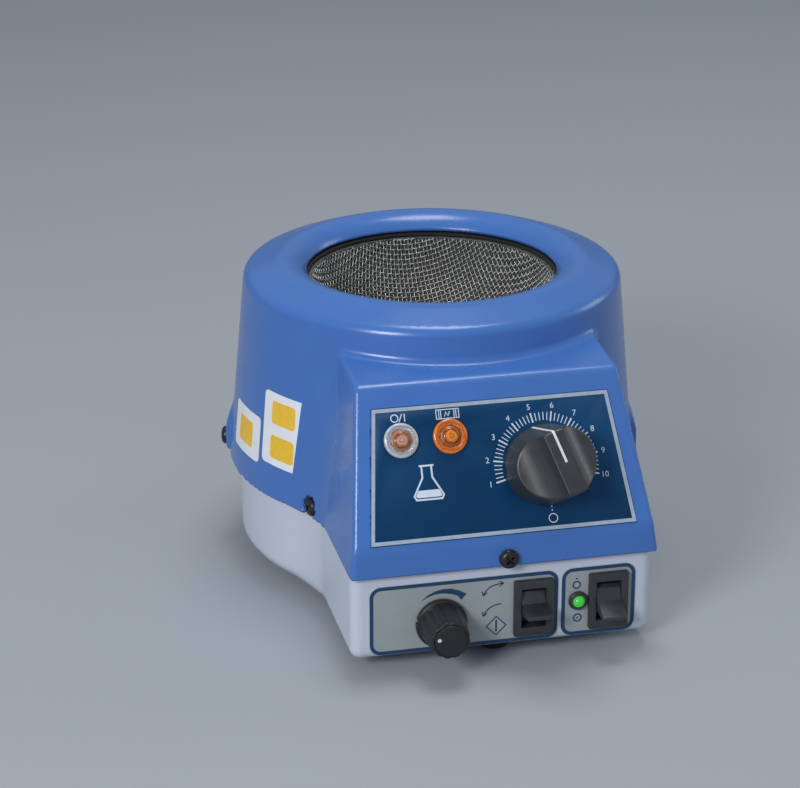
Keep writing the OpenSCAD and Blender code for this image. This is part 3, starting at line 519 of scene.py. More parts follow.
def rectangle(u, v, middle, half):
    """Positive outside an upright rectangle."""
    return np.maximum(np.abs(u - middle[0]) - half[0], np.abs(v - middle[1]) - half[1])


def base_outside(x, y, z):
    """Outer surface of the tray: a drum and a front block with a waist between them."""
    draft = DRUM_DRAFT * smooth_step(35 - z, 0, 10)
    drum = meet(np.hypot(x, y) - (BASE_R - draft), BASE_Z - z, BOTTOM_EDGE_R)
    block = meet(np.abs(x) - BASE_HALF_W, BASE_FRONT - y, FRONT_EDGE_R)
    block = np.maximum(meet(block, BASE_Z - z, 4), y)
    return join(drum, block, WAIST_R)


def base_sdf(x, y, z):
    """Hollow tray with an upstand inside the cover, and its openings."""
    outside = base_outside(x, y, z)
    lap_lo, lap_hi = RIM_LAP_Z
    front_part = np.maximum(np.maximum(np.abs(x) - UPSTAND_HALF_W, UPSTAND_FRONT - y), y)
    upstand = np.minimum(np.hypot(x, y) - UPSTAND_R, front_part)
    solid = np.minimum(np.maximum(outside, z - (SEAM_Z - SEAM_GAP)),
                       np.maximum(upstand, np.maximum(z - lap_hi, lap_lo - z)))
    hollow = np.minimum(np.maximum(outside + BASE_WALL, z - lap_lo),
                        np.maximum(upstand + BASE_WALL, lap_lo - 0.1 - z))
    d = np.maximum(solid, -hollow)
    half_t = REAR_FLAT_T / 2
    d = np.minimum(d, np.maximum(rectangle(x, z, (0, REAR_FLAT_Z), REAR_FLAT_HALF),
                                 np.abs(y - REAR_Y + half_t) - half_t))
    d = np.maximum(d, -np.maximum(REAR_Y - y, rectangle(x, z, (0, 23), (40, 18.5))))
    front = np.abs(y - BASE_FRONT) - 6
    for rx in ROCKERS:
        d = np.maximum(d, -np.maximum(rectangle(x, z, (rx, ROCKER_Z), ROCKER_HALF), front))
    for hx, hz, hr in ((*SPEED, SPEED_HOLE_R), (*LED, LED_HOLE_R)):
        d = np.maximum(d, -np.maximum(np.hypot(x - hx, z - hz) - hr, front))
    d = np.maximum(d, -np.maximum(rectangle(x, z, (0, INLET_Z), INLET_HALF), np.abs(y - REAR_Y) - 5))
    in_slot = np.abs((x + SLOT_PITCH / 2) % SLOT_PITCH - SLOT_PITCH / 2) - SLOT_HALF_W
    slots = np.maximum(in_slot, rectangle(x, y, SLOT_FIELD, SLOT_FIELD_HALF))
    return np.maximum(d, -np.maximum(slots, z - SLOT_TOP_Z))


add_shell("moulded_base", base_sdf, "base_tray", cell, HOUSING)

# ---------------------------------------------------------------- well

BOWL_R, BOWL_Z = 53.3, 135.3
BAND_R, BAND_T = (51.9, 62.0), 0.4
FLANGE_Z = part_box("earth_screen")[1].z / MM - BAND_T
WEAVE_PITCH, WIRE_R, WAVE_H = 2.2, 0.3, 0.28


def weave():
    """Plain weave of round wires over the bowl, laid out from its lowest point."""
    pitch, steps, sides = WEAVE_PITCH, 3, 5
    reach = BOWL_R * math.acos((BOWL_Z - FLANGE_Z) / BOWL_R)
    turn = np.linspace(0, 2 * np.pi, sides, endpoint=False)
    verts, faces, used = [], [], 0
    rows = int(reach / pitch)
    for family in (0, 1):
        for row in range(-rows, rows + 1):
            half = math.sqrt(max(reach**2 - (row * pitch) ** 2, 0))
            n = int(half / pitch * steps)
            if n < 3:
                continue
            t = np.arange(-n, n + 1) * pitch / steps
            a, b = np.full_like(t, row * pitch), t
            if family:
                a, b = b, a
            rho = np.hypot(a, b)
            polar = rho / BOWL_R
            sign = 1 if (row + family) % 2 else -1
            radius = BOWL_R + sign * WAVE_H * np.cos(np.pi * t / pitch)
            flat = np.where(rho > 1e-6, np.sin(polar) / np.maximum(rho, 1e-6), 1 / BOWL_R)
            unit = np.stack([a * flat, b * flat, -np.cos(polar)], 1)
            line = unit * radius[:, None] + [0, 0, BOWL_Z]
            along = np.gradient(line, axis=0)
            along /= np.linalg.norm(along, axis=1, keepdims=True)
            side = np.cross(along, unit)
            side /= np.linalg.norm(side, axis=1, keepdims=True)
            up = np.cross(side, along)
            ring = line[:, None] + WIRE_R * (np.cos(turn)[None, :, None] * side[:, None]
                                             + np.sin(turn)[None, :, None] * up[:, None])
            verts.append(ring.reshape(-1, 3))
            k = np.arange(len(t) - 1)[:, None] * sides + used
            i = np.arange(sides)[None]
            j = (i + 1) % sides
            faces.append(np.stack([k + i, k + j, k + sides + j, k + sides + i], 2).reshape(-1, 4))
            faces.append(np.array([np.arange(sides)[::-1] + used]))
            faces.append(np.array([np.arange(sides) + used + (len(t) - 1) * sides]))
            used += len(ring) * sides
    flat_faces = [f for block in faces for f in block.tolist()]
    return np.vstack(verts), flat_faces


verts, faces = weave()
add_mesh("woven_screen", verts, faces, HOUSING, "screen_steel", replaces=["earth_screen"])


def ring_mesh(profile, sides=120):
    """Closed ring of a profile that doesn't touch the axis."""
    turn = np.linspace(0, 2 * np.pi, sides, endpoint=False)
    verts = [(r * math.cos(a), r * math.sin(a), h) for r, h in profile for a in turn]
    n, faces = len(profile), []
    for k in range(n):
        a, b = k * sides, (k + 1) % n * sides
        for i in range(sides):
            j = (i + 1) % sides
            faces.append((a + i, a + j, b + j, b + i))
    return np.array(verts), faces


inner_r, outer_r = BAND_R
verts, faces = ring_mesh([(inner_r, FLANGE_Z), (outer_r, FLANGE_Z),
                          (outer_r, FLANGE_Z + BAND_T), (inner_r, FLANGE_Z + BAND_T)])
add_mesh("screen_band", verts, faces, HOUSING, "screen_steel", smooth=False)

# ---------------------------------------------------------------- prints

class Print:
    """Thin closed prints gathered into one mesh; place(u, v, h) puts them on a surface."""

    def __init__(self, place, thickness=0.06):
        self.place, self.thickness = place, thickness
        self.verts, self.faces = [], []

    def prism(self, loop):
        """Sheet of the print's thickness inside one loop."""
        n, at = len(loop), len(self.verts)
        self.verts += [self.place(u, v, self.thickness) for u, v in loop]
        self.verts += [self.place(u, v, 0) for u, v in loop]
        self.faces.append([at + i for i in range(n)])
        self.faces.append([at + n + i for i in reversed(range(n))])
        self.faces += [[at + (i + 1) % n, at + i, at + n + i, at + n + (i + 1) % n] for i in range(n)]

    def stroke(self, points, width, closed=False):
        """Line of a width, or widths, with mitred corners."""
        p = np.array(points, float)
        w = np.broadcast_to(np.asarray(width, float) / 2, len(p))[:, None]
        back = np.roll(p, 1, 0) if closed else np.vstack([p[:1] * 2 - p[1:2], p[:-1]])
        ahead_of = np.roll(p, -1, 0) if closed else np.vstack([p[1:], p[-1:] * 2 - p[-2:-1]])
        d0, d1 = p - back, ahead_of - p
        d0 /= np.linalg.norm(d0, axis=1, keepdims=True)
        d1 /= np.linalg.norm(d1, axis=1, keepdims=True)
        n0, n1 = np.stack([-d0[:, 1], d0[:, 0]], 1), np.stack([-d1[:, 1], d1[:, 0]], 1)
        mitre = n0 + n1
        mitre /= np.maximum((mitre * n1).sum(1, keepdims=True), 0.5)
        left, right = p + mitre * w, p - mitre * w
        n, at, t = len(p), len(self.verts), self.thickness
        for side, h in ((left, t), (right, t), (left, 0), (right, 0)):
            self.verts += [self.place(u, v, h) for u, v in side]
        a, b, c, d = (at + k * n for k in range(4))
        for i in range(n if closed else n - 1):
            j = (i + 1) % n
            self.faces += [[a + i, b + i, b + j, a + j], [c + j, d + j, d + i, c + i],
                           [a + j, c + j, c + i, a + i], [b + i, d + i, d + j, b + j]]
        if not closed:
            self.faces += [[a, c, d, b], [b + n - 1, d + n - 1, c + n - 1, a + n - 1]]

    def circle(self, u, v, r, width=0):
        loop = arc(u, v, r, 0, 360, 40)[:-1]
        self.stroke(loop, width, True) if width else self.prism(loop)

    def digits(self, text, u, v, size):
        """Numerals from Blender's own font, flat and centred."""
        curve = bpy.data.curves.new("numeral", "FONT")
        curve.body, curve.size = text, size
        curve.align_x, curve.align_y = "CENTER", "CENTER"
        curve.extrude, curve.resolution_u = 0.5, 4
        obj = bpy.data.objects.new("numeral", curve)
        bpy.context.scene.collection.objects.link(obj)
        self.take(curve, obj, u, v)

    def sheet(self, loops):
        """Flat sheet from closed loops; a loop inside another is a hole."""
        curve = bpy.data.curves.new("outline", "CURVE")
        curve.dimensions, curve.fill_mode, curve.extrude = "2D", "BOTH", 0.5
        for loop in loops:
            spline = curve.splines.new("POLY")
            spline.points.add(len(loop) - 1)
            spline.points.foreach_set("co", [c for x, y in loop for c in (x, y, 0, 1)])
            spline.use_cyclic_u = True
        obj = bpy.data.objects.new("outline", curve)
        bpy.context.scene.collection.objects.link(obj)
        self.take(curve, obj, 0, 0)

    def take(self, curve, obj, u, v):
        """Adds a curve object's filled shape and removes the curve."""
        mesh = bpy.data.meshes.new_from_object(obj.evaluated_get(bpy.context.evaluated_depsgraph_get()))
        at = len(self.verts)
        for vert in mesh.vertices:
            h = self.thickness if vert.co.z > 0 else 0
            self.verts.append(self.place(u + vert.co.x, v + vert.co.y, h))
        self.faces += [[at + k for k in poly.vertices] for poly in mesh.polygons]
        bpy.data.objects.remove(obj)
        bpy.data.curves.remove(curve)
        bpy.data.meshes.remove(mesh)

    def add(self, name, body, slot, mat):
        return add_mesh(name, np.array(self.verts), self.faces, body, slot, mat, smooth=False)


def arc(u, v, r, a0, a1, n=16):
    """Points round a centre from one angle to another, in degrees."""
    return [(u + r * math.cos(math.radians(a0 + (a1 - a0) * i / n)),
             v + r * math.sin(math.radians(a0 + (a1 - a0) * i / n))) for i in range(n + 1)]


def rounded(u0, v0, u1, v1, r):
    """Loop round a rectangle with rounded corners."""
    return (arc(u1 - r, v1 - r, r, 0, 90, 6) + arc(u0 + r, v1 - r, r, 90, 180, 6)
            + arc(u0 + r, v0 + r, r, 180, 270, 6) + arc(u1 - r, v0 + r, r, 270, 360, 6))


def slope_place(base_h):
    """Places prints on the sloping face, base_h above it."""
    up = np.array([0, math.cos(SLOPE_A), math.sin(SLOPE_A)])
    out = np.array([0, -math.sin(SLOPE_A), math.cos(SLOPE_A)])
    foot = np.array([0, *SLOPE_FOOT])
    return lambda u, v, h: foot + np.array([u, 0, 0]) + up * v + out * (base_h + h)


PLATE_TOP = 0.22
panel_y = box_mm("lower_label")[0][1]


def panel_place(u, v, h):
    """Places prints on the upright front of the base."""
    return np.array([u, panel_y - h, v])


border = Print(slope_place(PLATE_TOP))
foot_w, top_w, foot_v, top_v = 53.6, 47.8, 3.1, 55.4
border.stroke([(-foot_w, foot_v), (foot_w, foot_v), (top_w, top_v), (-top_w, top_v)], 1.5, True)
border.add("plate_border", HOUSING, "plate_blue", silver_print)

DIAL_START, DIAL_STEP, TICKS_PER_STEP, DIAL_STEPS = -103.5, 23.0, 5, 9
marks = Print(slope_place(PLATE_TOP))
cx, cv = HEAT_KNOB
for i in range(DIAL_STEPS * TICKS_PER_STEP + 1):
    a = math.radians(DIAL_START + DIAL_STEP * i / TICKS_PER_STEP)
    major = i % TICKS_PER_STEP == 0
    inner, outer = (17.9, 21.9) if major else (18.3, 21.5)
    marks.stroke([(cx + inner * math.sin(a), cv + inner * math.cos(a)),
                  (cx + outer * math.sin(a), cv + outer * math.cos(a))], 0.62 if major else 0.36)
    if major:
        marks.digits(str(i // TICKS_PER_STEP + 1), cx + 24.3 * math.sin(a), cv + 24.3 * math.cos(a), 3.3)
marks.circle(cx + 0.3, 6.9, 1.75, 0.36)
for v in (10.1, 11.6):
    marks.circle(cx + 0.2, v, 0.28)
marks.circle(-39.7, 52.0, 1.45, 0.42)
marks.stroke([(-37.9, 50.5), (-36.6, 53.6)], 0.4)
marks.stroke([(-35.6, 50.4), (-35.6, 53.6)], 0.42)
marks.stroke([(-22.7, 50.3), (-13.5, 50.3), (-13.5, 53.9), (-22.7, 53.9)], 0.34, True)
for u in (-21.6, -20.8, -15.4, -14.6):
    marks.stroke([(u, 50.6), (u, 53.6)], 0.32)
marks.stroke([(-19.4, 51.1), (-18.7, 52.9), (-17.9, 51.3), (-17.1, 53.1)], 0.34)
# flask drawing
marks.stroke([(-31.0, 32.0), (-31.0, 27.6), (-35.0, 20.4), (-34.2, 18.9), (-23.8, 18.9), (-23.0, 20.4),
              (-27.0, 27.6), (-27.0, 32.0)], 0.7)
marks.stroke([(-32.0, 32.3), (-26.0, 32.3)], 0.7)
marks.prism([(-33.2, 22.6), (-34.3, 20.5), (-33.8, 19.7), (-24.2, 19.7), (-23.7, 20.5), (-24.8, 22.6)])
marks.add("plate_marks", HOUSING, "plate_blue", white_print)

LABEL_PANELS, LABEL_CORNER, FRAME_W = ((-55, 8, 22.6, 37.8), (24.2, 8, 55, 37.8)), 4.5, 1.5
label_t = BASE_FRONT - panel_y
sheet = Print(lambda u, v, h: panel_place(u, v, h - label_t), label_t)
half_w, half_h = ROCKER_HALF
holes = [rounded(x - half_w, ROCKER_Z - half_h, x + half_w, ROCKER_Z + half_h, 0.5) for x in ROCKERS]
holes += [arc(*SPEED, SPEED_HOLE_R, 0, 360, 32)[:-1], arc(*LED, LED_HOLE_R, 0, 360, 32)[:-1]]
sheet.sheet([rounded(*panel, LABEL_CORNER) for panel in LABEL_PANELS] + holes)
add_mesh("label_sheets", np.array(sheet.verts), sheet.faces, HOUSING, "label_grey",
         smooth=False, replaces=["lower_label"])

label = Print(panel_place)
for u0, v0, u1, v1 in LABEL_PANELS:
    inset = FRAME_W / 2
    label.stroke(rounded(u0 + inset, v0 + inset, u1 - inset, v1 - inset, 3.8), FRAME_W, True)
label.prism([(-34.2, 29.9), (-31.4, 32.3), (-28.3, 33.8), (-25.0, 34.5), (-21.6, 34.3), (-18.4, 33.2),
             (-15.4, 31.4), (-17.6, 28.9), (-19.0, 30.9), (-21.8, 32.0), (-24.9, 32.6), (-28.3, 32.5),
             (-31.3, 31.5)])


def bend(start, through, end, n=10):
    """Points on a quadratic curve."""
    a, b, c = (np.array(q, float) for q in (start, through, end))
    return [tuple(a * (1 - t) ** 2 + 2 * b * t * (1 - t) + c * t * t) for t in np.linspace(0, 1, n)]


def arrow_head(tip, degrees, size=2.1):
    """Two barbs that trail a tip which points in a direction."""
    for spread in (148, -148):
        a = math.radians(degrees + spread)
        label.stroke([tip, (tip[0] + size * math.cos(a), tip[1] + size * math.sin(a))], 0.46)


label.stroke(bend((-8.3, 30.0), (-6.6, 34.3), (-0.5, 34.4)), 0.5)
arrow_head((-8.5, 29.6), 250)
arrow_head((-0.1, 34.4), 2)
label.stroke(bend((-8.2, 20.9), (-6.4, 25.2), (-1.0, 25.4)), 0.5)
arrow_head((-8.4, 20.5), 250)
label.stroke([(-3.0, 19.9), (1.1, 15.8), (-3.0, 11.7), (-7.1, 15.8)], 0.5, True)
label.stroke([(-3.0, 13.2), (-3.0, 18.4)], 0.75)
label.circle(30.4, 30.3, 1.5, 0.62)
label.circle(30.4, 33.1, 0.38)
label.circle(31.0, 15.6, 1.6, 0.62)
label.circle(31.0, 15.6, 0.42)
label.add("label_print", HOUSING, "label_grey", blue_print)


# ---------------------------------------------------------------- stickers

def wall_place(angle, z_mid):
    """Places prints on the cover's leaning side wall round an angle in degrees."""
    def place(u, v, h):
        z = z_mid + v
        r = RIM_R - (z - SEAM_Z) * math.tan(SIDE_A) + 0.03 + h
        a = math.radians(angle) + u / RIM_R
        return np.array([r * math.cos(a), r * math.sin(a), z])
    return place


def curved_sheet(name, place, half_u, half_v, corner, thickness, mat=None, replaces=()):
    """Sheet with round corners that follows a curved wall."""
    vs = np.concatenate([-half_v + corner * (1 - np.cos(np.linspace(0, np.pi / 2, 6))),
                         half_v - corner * (1 - np.cos(np.linspace(np.pi / 2, 0, 6)))])
    columns = 15
    top, bottom = [], []
    for v in vs:
        inset = max(abs(v) - (half_v - corner), 0)
        w = half_u - corner + math.sqrt(max(corner**2 - inset**2, 0))
        for u in np.linspace(-w, w, columns):
            top.append(place(u, v, thickness))
            bottom.append(place(u, v, 0))
    n, faces = len(top), []
    rows = len(vs)
    for i in range(rows - 1):
        for j in range(columns - 1):
            a = i * columns + j
            quad = [a, a + 1, a + columns + 1, a + columns]
            faces += [quad, [n + k for k in reversed(quad)]]
    rim = ([(0, j) for j in range(columns)] + [(i, columns - 1) for i in range(1, rows)]
           + [(rows - 1, j) for j in range(columns - 2, -1, -1)] + [(i, 0) for i in range(rows - 2, 0, -1)])
    for (i0, j0), (i1, j1) in zip(rim, rim[1:] + rim[:1]):
        a, b = i0 * columns + j0, i1 * columns + j1
        faces.append([b, a, n + a, n + b])
    add_mesh(name, np.array(top + bottom), faces, HOUSING, "sticker_white", mat, smooth=False,
             replaces=replaces)


def z_middle(node):
    """Middle height and half height of a CAD node."""
    lo, hi = box_mm(node)
    return (lo[2] + hi[2]) / 2, (hi[2] - lo[2]) / 2


STICKER_T, STICKER_CORNER, BLOCK_T, BLOCK_CORNER = 0.16, 2.2, 0.03, 1.6
# angle round the wall and half width of each sticker
STICKERS = {"large": (-150, 13.4), "small": (-169.5, 14.0)}
# sticker, height on it, half width and half height of each amber block
BLOCKS = {"block_large_upper": ("large", 7.4, 7.6, 5.0),
          "block_large_lower": ("large", -7.6, 7.6, 5.0),
          "block_small": ("small", 0, 7.4, 5.6)}


def raised(place, dv):
    """The same placing, moved up a sticker and onto its face."""
    return lambda u, v, h: place(u, v + dv, h + STICKER_T + 0.005)


places = {}
for size, (angle, half_u) in STICKERS.items():
    z_mid, half_v = z_middle("side_sticker_" + size)
    places[size] = wall_place(angle, z_mid)
    curved_sheet("sticker_" + size, places[size], half_u, half_v, STICKER_CORNER, STICKER_T,
                 replaces=["side_sticker_" + size])
for name, (size, dv, half_u, half_v) in BLOCKS.items():
    curved_sheet(name, raised(places[size], dv), half_u, half_v, BLOCK_CORNER, BLOCK_T, amber_print)

# ---------------------------------------------------------------- knobs

KNOB_BASE = 0.8
HEAT_REST = math.radians(18)
HEAT_R, HEAT_H = 17.0, 27.5
WIDER, SHORTER = 1.04, 0.96
TAIL_LEAN, TIP_LEAN = 1.9, 3.2
SCOOP_AT, SCOOP_HALF_W, SCOOP_DEPTH = 17.6, 13.3, 13.0
slope_at_knob = slope_place(KNOB_BASE)


def heat_local(x, y, z):
    """Knob coordinates: across the grip bar, along it, and up from the knob's foot."""
    v, height = on_slope_coords(y, z)
    return (*turned(x - HEAT_KNOB[0], v - HEAT_KNOB[1], -HEAT_REST), height - KNOB_BASE)


def heat_sdf_local(a, b, h):
    """Tapered round knob with a finger scoop on both sides of its grip bar."""
    r = np.maximum(np.hypot(a / WIDER, (b + 0.9 * h / HEAT_H - 0.4) / SHORTER), 1e-6)
    lean = TAIL_LEAN + TIP_LEAN * np.clip(b / r, 0, 1) ** 2
    side = (r - (HEAT_R - lean * h / HEAT_H)) * 0.93
    d = meet(side, h - HEAT_H, 1.0)
    scoop = (np.hypot((np.abs(a) - SCOOP_AT) / SCOOP_HALF_W, (h - HEAT_H - 0.5) / SCOOP_DEPTH) - 1) * 12.5
    d = meet(d, -scoop, 0.55)
    d = meet(d, -h, 0.3)
    return np.maximum(d, -np.maximum(np.hypot(a, b) - 10, h - 4))


def heat_sdf(x, y, z):
    return heat_sdf_local(*heat_local(x, y, z))


add_shell("heat_knob_body", heat_sdf, "heat_knob", 0.45, "heat_knob")


def surface_line(sdf, guess, offsets, lift, to_world):
    """Strip of paint laid on a knob along a guessed path, drawn onto its surface."""
    p = []
    for shift in offsets:
        line = np.array(guess, float) + [shift, 0, 0]
        for _ in range(12):
            g = gradient(sdf, line, 0.02)
            g[:, 0] = 0
            line -= sdf(line[:, 0], line[:, 1], line[:, 2])[:, None] * g * 0.8
        g = gradient(sdf, line, 0.05)
        p += [line + g * lift, line - g * 0.1]
    n = len(guess)
    verts = [to_world(*q) for block in p for q in block]
    faces = []
    for i in range(n - 1):
        a, b, c, d = (k * n + i for k in range(4))
        faces += [[a, c, c + 1, a + 1], [b + 1, d + 1, d, b], [a + 1, b + 1, b, a], [c, d, d + 1, c + 1]]
    a, b, c, d = (k * n for k in range(4))
    faces += [[a, b, d, c], [a + n - 1, c + n - 1, d + n - 1, b + n - 1]]
    return np.array(verts), faces


def heat_world(a, b, h):
    """Place of a point given in the heat knob's coordinates."""
    du, dv = turned(a, b, HEAT_REST)
    return slope_at_knob(HEAT_KNOB[0] + du, HEAT_KNOB[1] + dv, h)


guess = [(0, 16.3 - 0.18 * i, 2.5 + i) for i in range(24)] + [(0, 11.7, 27), (0, 11.3, 27.4)]
guess += [(0, 10.8 - 0.9 * i, HEAT_H) for i in range(15)]
verts, faces = surface_line(heat_sdf_local, guess, (-0.5, 0.5), 0.1, heat_world)
add_mesh("heat_pointer", verts, faces, "heat_knob", "knob_black", pointer_print, smooth=False)

SPEED_REST = math.radians(79)
SPEED_BACK = -124.6
SPEED_H = 17.0
SKIRT_R, SKIRT_H = 10.5, 2.2
FLUTE_R, FLUTE_STEP = 1.65, np.pi / 6
CAP_SEAT_R, CAP_R = 6.75, 6.65


def speed_sdf_local(a, b, h):
    """Fluted knob on a notched skirt, hollow under its cap and round its shaft."""
    r = np.hypot(a, b)
    skirt = meet(r - SKIRT_R, h - SKIRT_H, 0.5)
    turn = np.arctan2(b, a)
    body = meet(r - (9.6 - 1.7 * np.clip(h - 2.4, 0, 14) / 14.6), h - SPEED_H, 0.6)
    off = (turn + np.pi) % FLUTE_STEP - FLUTE_STEP / 2
    flute_at = 10.7 - 0.115 * (h - 3)
    flute = np.maximum(np.hypot(r * np.cos(off) - flute_at, r * np.sin(off)) - FLUTE_R, 3.2 - h)
    body = meet(body, -flute, 0.35)
    d = join(skirt, body, 0.5)
    notch = np.maximum(np.abs(turn - np.pi / 2) * 10 - 0.7, 9.8 - r)
    d = np.maximum(d, -notch)
    d = np.maximum(d, -np.maximum(r - CAP_SEAT_R, SPEED_H - 1.0 - h))
    d = np.maximum(d, -np.maximum(r - 6.6, h - 2.6))
    return meet(d, -h, 0.2)


def speed_local(x, y, z):
    """Knob coordinates: two across the knob and one forward from its back."""
    return (*turned(x - SPEED[0], z - SPEED[1], -SPEED_REST), SPEED_BACK - y)


def speed_sdf(x, y, z):
    return speed_sdf_local(*speed_local(x, y, z))


add_shell("speed_knob_body", speed_sdf, "speed_knob", 0.3, "speed_knob",
          speed_black)

cap_lo, cap_hi = box_mm("speed_knob_cap")


def cap_place(a, b, h):
    """Place of a point on the speed knob's cap, h forward of its back."""
    dx, dz = turned(a, b, SPEED_REST)
    return np.array([SPEED[0] + dx, cap_hi[1] - h, SPEED[1] + dz])


cap_t = cap_hi[1] - cap_lo[1] - 0.06
profile = [(0, 0), (CAP_R, 0), (CAP_R, cap_t - 0.45), (CAP_R - 0.15, cap_t - 0.2),
           (CAP_R - 0.45, cap_t - 0.06), (CAP_R - 0.85, cap_t), (3, cap_t), (0, cap_t)]
verts, faces = revolve(profile, cap_place, 64)
add_mesh("speed_cap", verts, faces, "speed_knob", "knob_black", speed_black, smooth=False,
         replaces=["speed_knob_cap"])
dot = Print(lambda u, v, h: cap_place(u, v, cap_t + h), 0.05)
dot.circle(0, 4.9, 0.8)
dot.add("speed_dot", "speed_knob", "knob_black", pointer_print)

# ---------------------------------------------------------------- lamps

def lens(name, node, x):
    """Low lens with a ribbed brim, a moat and a stepped centre."""
    def place(a, b, h):
        return slope_place(PLATE_TOP + 0.02)(x + a, LAMP_V + b, h)

    def ribs(a, r):
        return 0.12 * math.cos(36 * a) * math.exp(-((r - 4.9) / 0.7) ** 2)

    profile = [(0, 0), (6.95, 0), (7.05, 0.5), (6.95, 1.0), (6.6, 1.4), (6.0, 1.55), (5.5, 1.45), (5.0, 1.25),
               (4.5, 1.15), (4.0, 1.2), (3.6, 1.45), (3.35, 1.9), (3.1, 2.3), (2.6, 2.5), (2.35, 2.45),
               (2.1, 2.6), (1.6, 2.7), (1.4, 2.65), (1.1, 2.78), (0.5, 2.84), (0, 2.85)]
    verts, faces = revolve(profile, place, 144, ribs)
    add_mesh(name, verts, faces, HOUSING, slot_of[node], replaces=[node])


def lens_tint(mat, rings, x):
    """Ragged colour rings round a lamp's axis."""
    nodes, links = mat.node_tree.nodes, mat.node_tree.links
    shader = nodes["Principled BSDF"]
    centre = slope_place(0)(x, LAMP_V, 0) * MM + AXIS
    axis = np.array([0, -math.sin(SLOPE_A), math.cos(SLOPE_A)])
    coords = nodes.new("ShaderNodeTexCoord")
    vector = coords.outputs["Object"]
    for operation, value in (("SUBTRACT", centre), ("CROSS_PRODUCT", axis), ("LENGTH", None)):
        step = nodes.new("ShaderNodeVectorMath")
        step.operation = operation
        links.new(vector, step.inputs[0])
        if value is not None:
            step.inputs[1].default_value = value.tolist()
        vector = step.outputs[0]
    ragged = nodes.new("ShaderNodeTexNoise")
    ragged.inputs["Scale"].default_value = 480
    ragged.inputs["Detail"].default_value = 4
    links.new(coords.outputs["Object"], ragged.inputs["Vector"])
    shift = nodes.new("ShaderNodeMath")
    shift.operation = "MULTIPLY_ADD"
    shift.inputs[1].default_value = 0.0022
    links.new(ragged.outputs["Fac"], shift.inputs[0])
    links.new(step.outputs["Value"], shift.inputs[2])
    reach = nodes.new("ShaderNodeMapRange")
    reach.inputs["From Min"].default_value = 0.0011
    reach.inputs["From Max"].default_value = 0.0083
    links.new(shift.outputs[0], reach.inputs["Value"])
    tint = nodes.new("ShaderNodeValToRGB")
    ramp = tint.color_ramp
    while len(ramp.elements) < len(rings):
        ramp.elements.new(0.5)
    for element, (r, color) in zip(ramp.elements, rings):
        element.position, element.color = r / 7.2, [*color, 1]
    links.new(reach.outputs["Result"], tint.inputs["Fac"])
    links.new(tint.outputs["Color"], shader.inputs["Base Color"])


lens_tint(finishes["lens_clear"], (
    (0, (0.6, 0.44, 0.36)), (0.9, (0.42, 0.15, 0.08)), (1.5, (0.6, 0.36, 0.27)), (2.3, (0.45, 0.16, 0.08)),
    (2.9, (0.12, 0.045, 0.025)), (3.5, (0.5, 0.16, 0.05)), (4.3, (0.2, 0.14, 0.11)),
    (5.0, (0.42, 0.44, 0.47)), (5.7, (0.3, 0.3, 0.32)), (6.4, (0.5, 0.53, 0.58))), LAMPS[0])
lens_tint(finishes["lens_amber"], (
    (0, (0.85, 0.32, 0.02)), (0.9, (0.5, 0.11, 0.004)), (1.5, (0.85, 0.28, 0.015)), (2.3, (0.6, 0.15, 0.008)),
    (2.9, (0.12, 0.02, 0.002)), (3.6, (0.5, 0.12, 0.005)), (4.2, (0.16, 0.03, 0.003)),
    (5.0, (0.7, 0.17, 0.006)), (5.7, (0.4, 0.08, 0.004)), (6.4, (0.8, 0.2, 0.008))), LAMPS[1])
lens("mains_lens", "mains_lamp_lens", LAMPS[0])
lens("heater_lens", "heater_lamp_lens", LAMPS[1])

# ---------------------------------------------------------------- softened CAD nodes

for node, width in (("mode_switch_body", 0.35), ("power_switch_body", 0.35), ("mode_rocker", 0.3),
                    ("power_rocker", 0.3), ("mains_inlet", 0.5), ("energy_regulator", 0.5),
                    ("transformer", 0.4), ("terminal_block", 0.4), ("control_board", 0.15),
                    ("fascia_plate", 0.12), ("triac", 0.3)):
    bevelled(node, width)

# ---------------------------------------------------------------- studio

FLOOR_HALF_W, FLOOR_FRONT, CURVE_START, FLOOR_STEPS = 3.0, -2.5, 1.7, 24
CURVE_DEPTH, CURVE_R = 0.9, 0.9

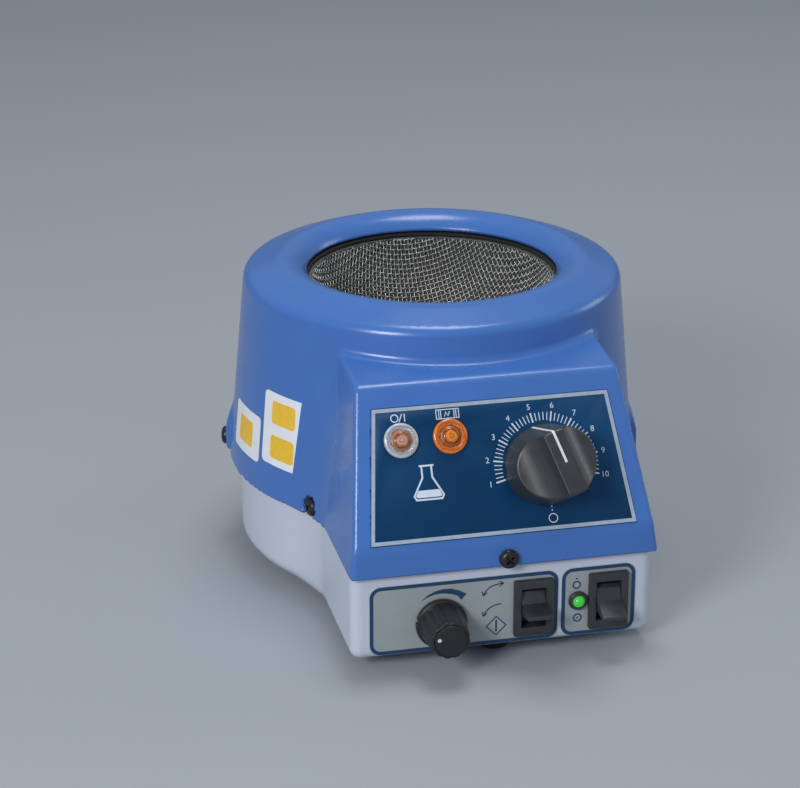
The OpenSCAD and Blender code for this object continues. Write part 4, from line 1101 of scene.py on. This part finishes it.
floor_mesh = bpy.data.meshes.new("studio_floor")
verts, faces = [], []
for i in range(FLOOR_STEPS + 1):
    t = i / FLOOR_STEPS
    if t < 0.5:
        y, z = FLOOR_FRONT + (CURVE_START - FLOOR_FRONT) * t * 2, 0.0
    else:
        a = (t - 0.5) * math.pi
        y, z = CURVE_START + CURVE_DEPTH * math.sin(a), CURVE_R * (1 - math.cos(a))
    verts += [(-FLOOR_HALF_W, y, z), (FLOOR_HALF_W, y, z)]
    if i:
        faces.append((2 * i - 2, 2 * i - 1, 2 * i + 1, 2 * i))
floor_mesh.from_pydata(verts, [], faces)
floor_mesh.polygons.foreach_set("use_smooth", [True] * len(floor_mesh.polygons))
floor = bpy.data.objects.new("studio_floor", floor_mesh)
bpy.context.scene.collection.objects.link(floor)
floor_mesh.materials.append(material("studio_paper", (0.36, 0.39, 0.43), 0.9, 0.01, 3, 0))

world = bpy.data.worlds.new("studio")
world.use_nodes = True
world.node_tree.nodes["Background"].inputs["Color"].default_value = (0.85, 0.92, 1.0, 1)
world.node_tree.nodes["Background"].inputs["Strength"].default_value = 0.38
bpy.context.scene.world = world
bpy.context.scene.view_settings.view_transform = "Standard"


def softbox(name, place, target, size, power, color):
    """Square area light that faces a target."""
    light = bpy.data.lights.new(name, "AREA")
    light.shape, light.size, light.energy, light.color = "SQUARE", size, power, color
    obj = bpy.data.objects.new(name, light)
    bpy.context.scene.collection.objects.link(obj)
    obj.location = place
    obj.rotation_euler = (Vector(target) - Vector(place)).to_track_quat("-Z", "Y").to_euler()


middle = (0, 0, 0.06)
softbox("overhead", (0.1, 0.15, 1.4), middle, 0.5, 6.8, (1.0, 0.98, 0.95))
softbox("front_left", (-0.9, -1.0, 0.75), middle, 0.4, 11.5, (0.99, 0.98, 1.0))
softbox("right_rim", (1.3, 0.2, 0.5), middle, 0.5, 2, (0.95, 0.97, 1.0))

camera = bpy.data.objects.new("camera", bpy.data.cameras.new("camera"))
bpy.context.scene.collection.objects.link(camera)
camera.location = Vector((-0.2529, -1.0331, 0.4897)) + Vector(AXIS)
aim = Vector((-0.01395, 0, 0.06901)) + Vector(AXIS)
camera.rotation_euler = (aim - camera.location).to_track_quat("-Z", "Y").to_euler()
camera.data.sensor_width = 36
camera.data.lens = 117.58
camera.data.clip_start = 0.05
bpy.context.scene.camera = camera
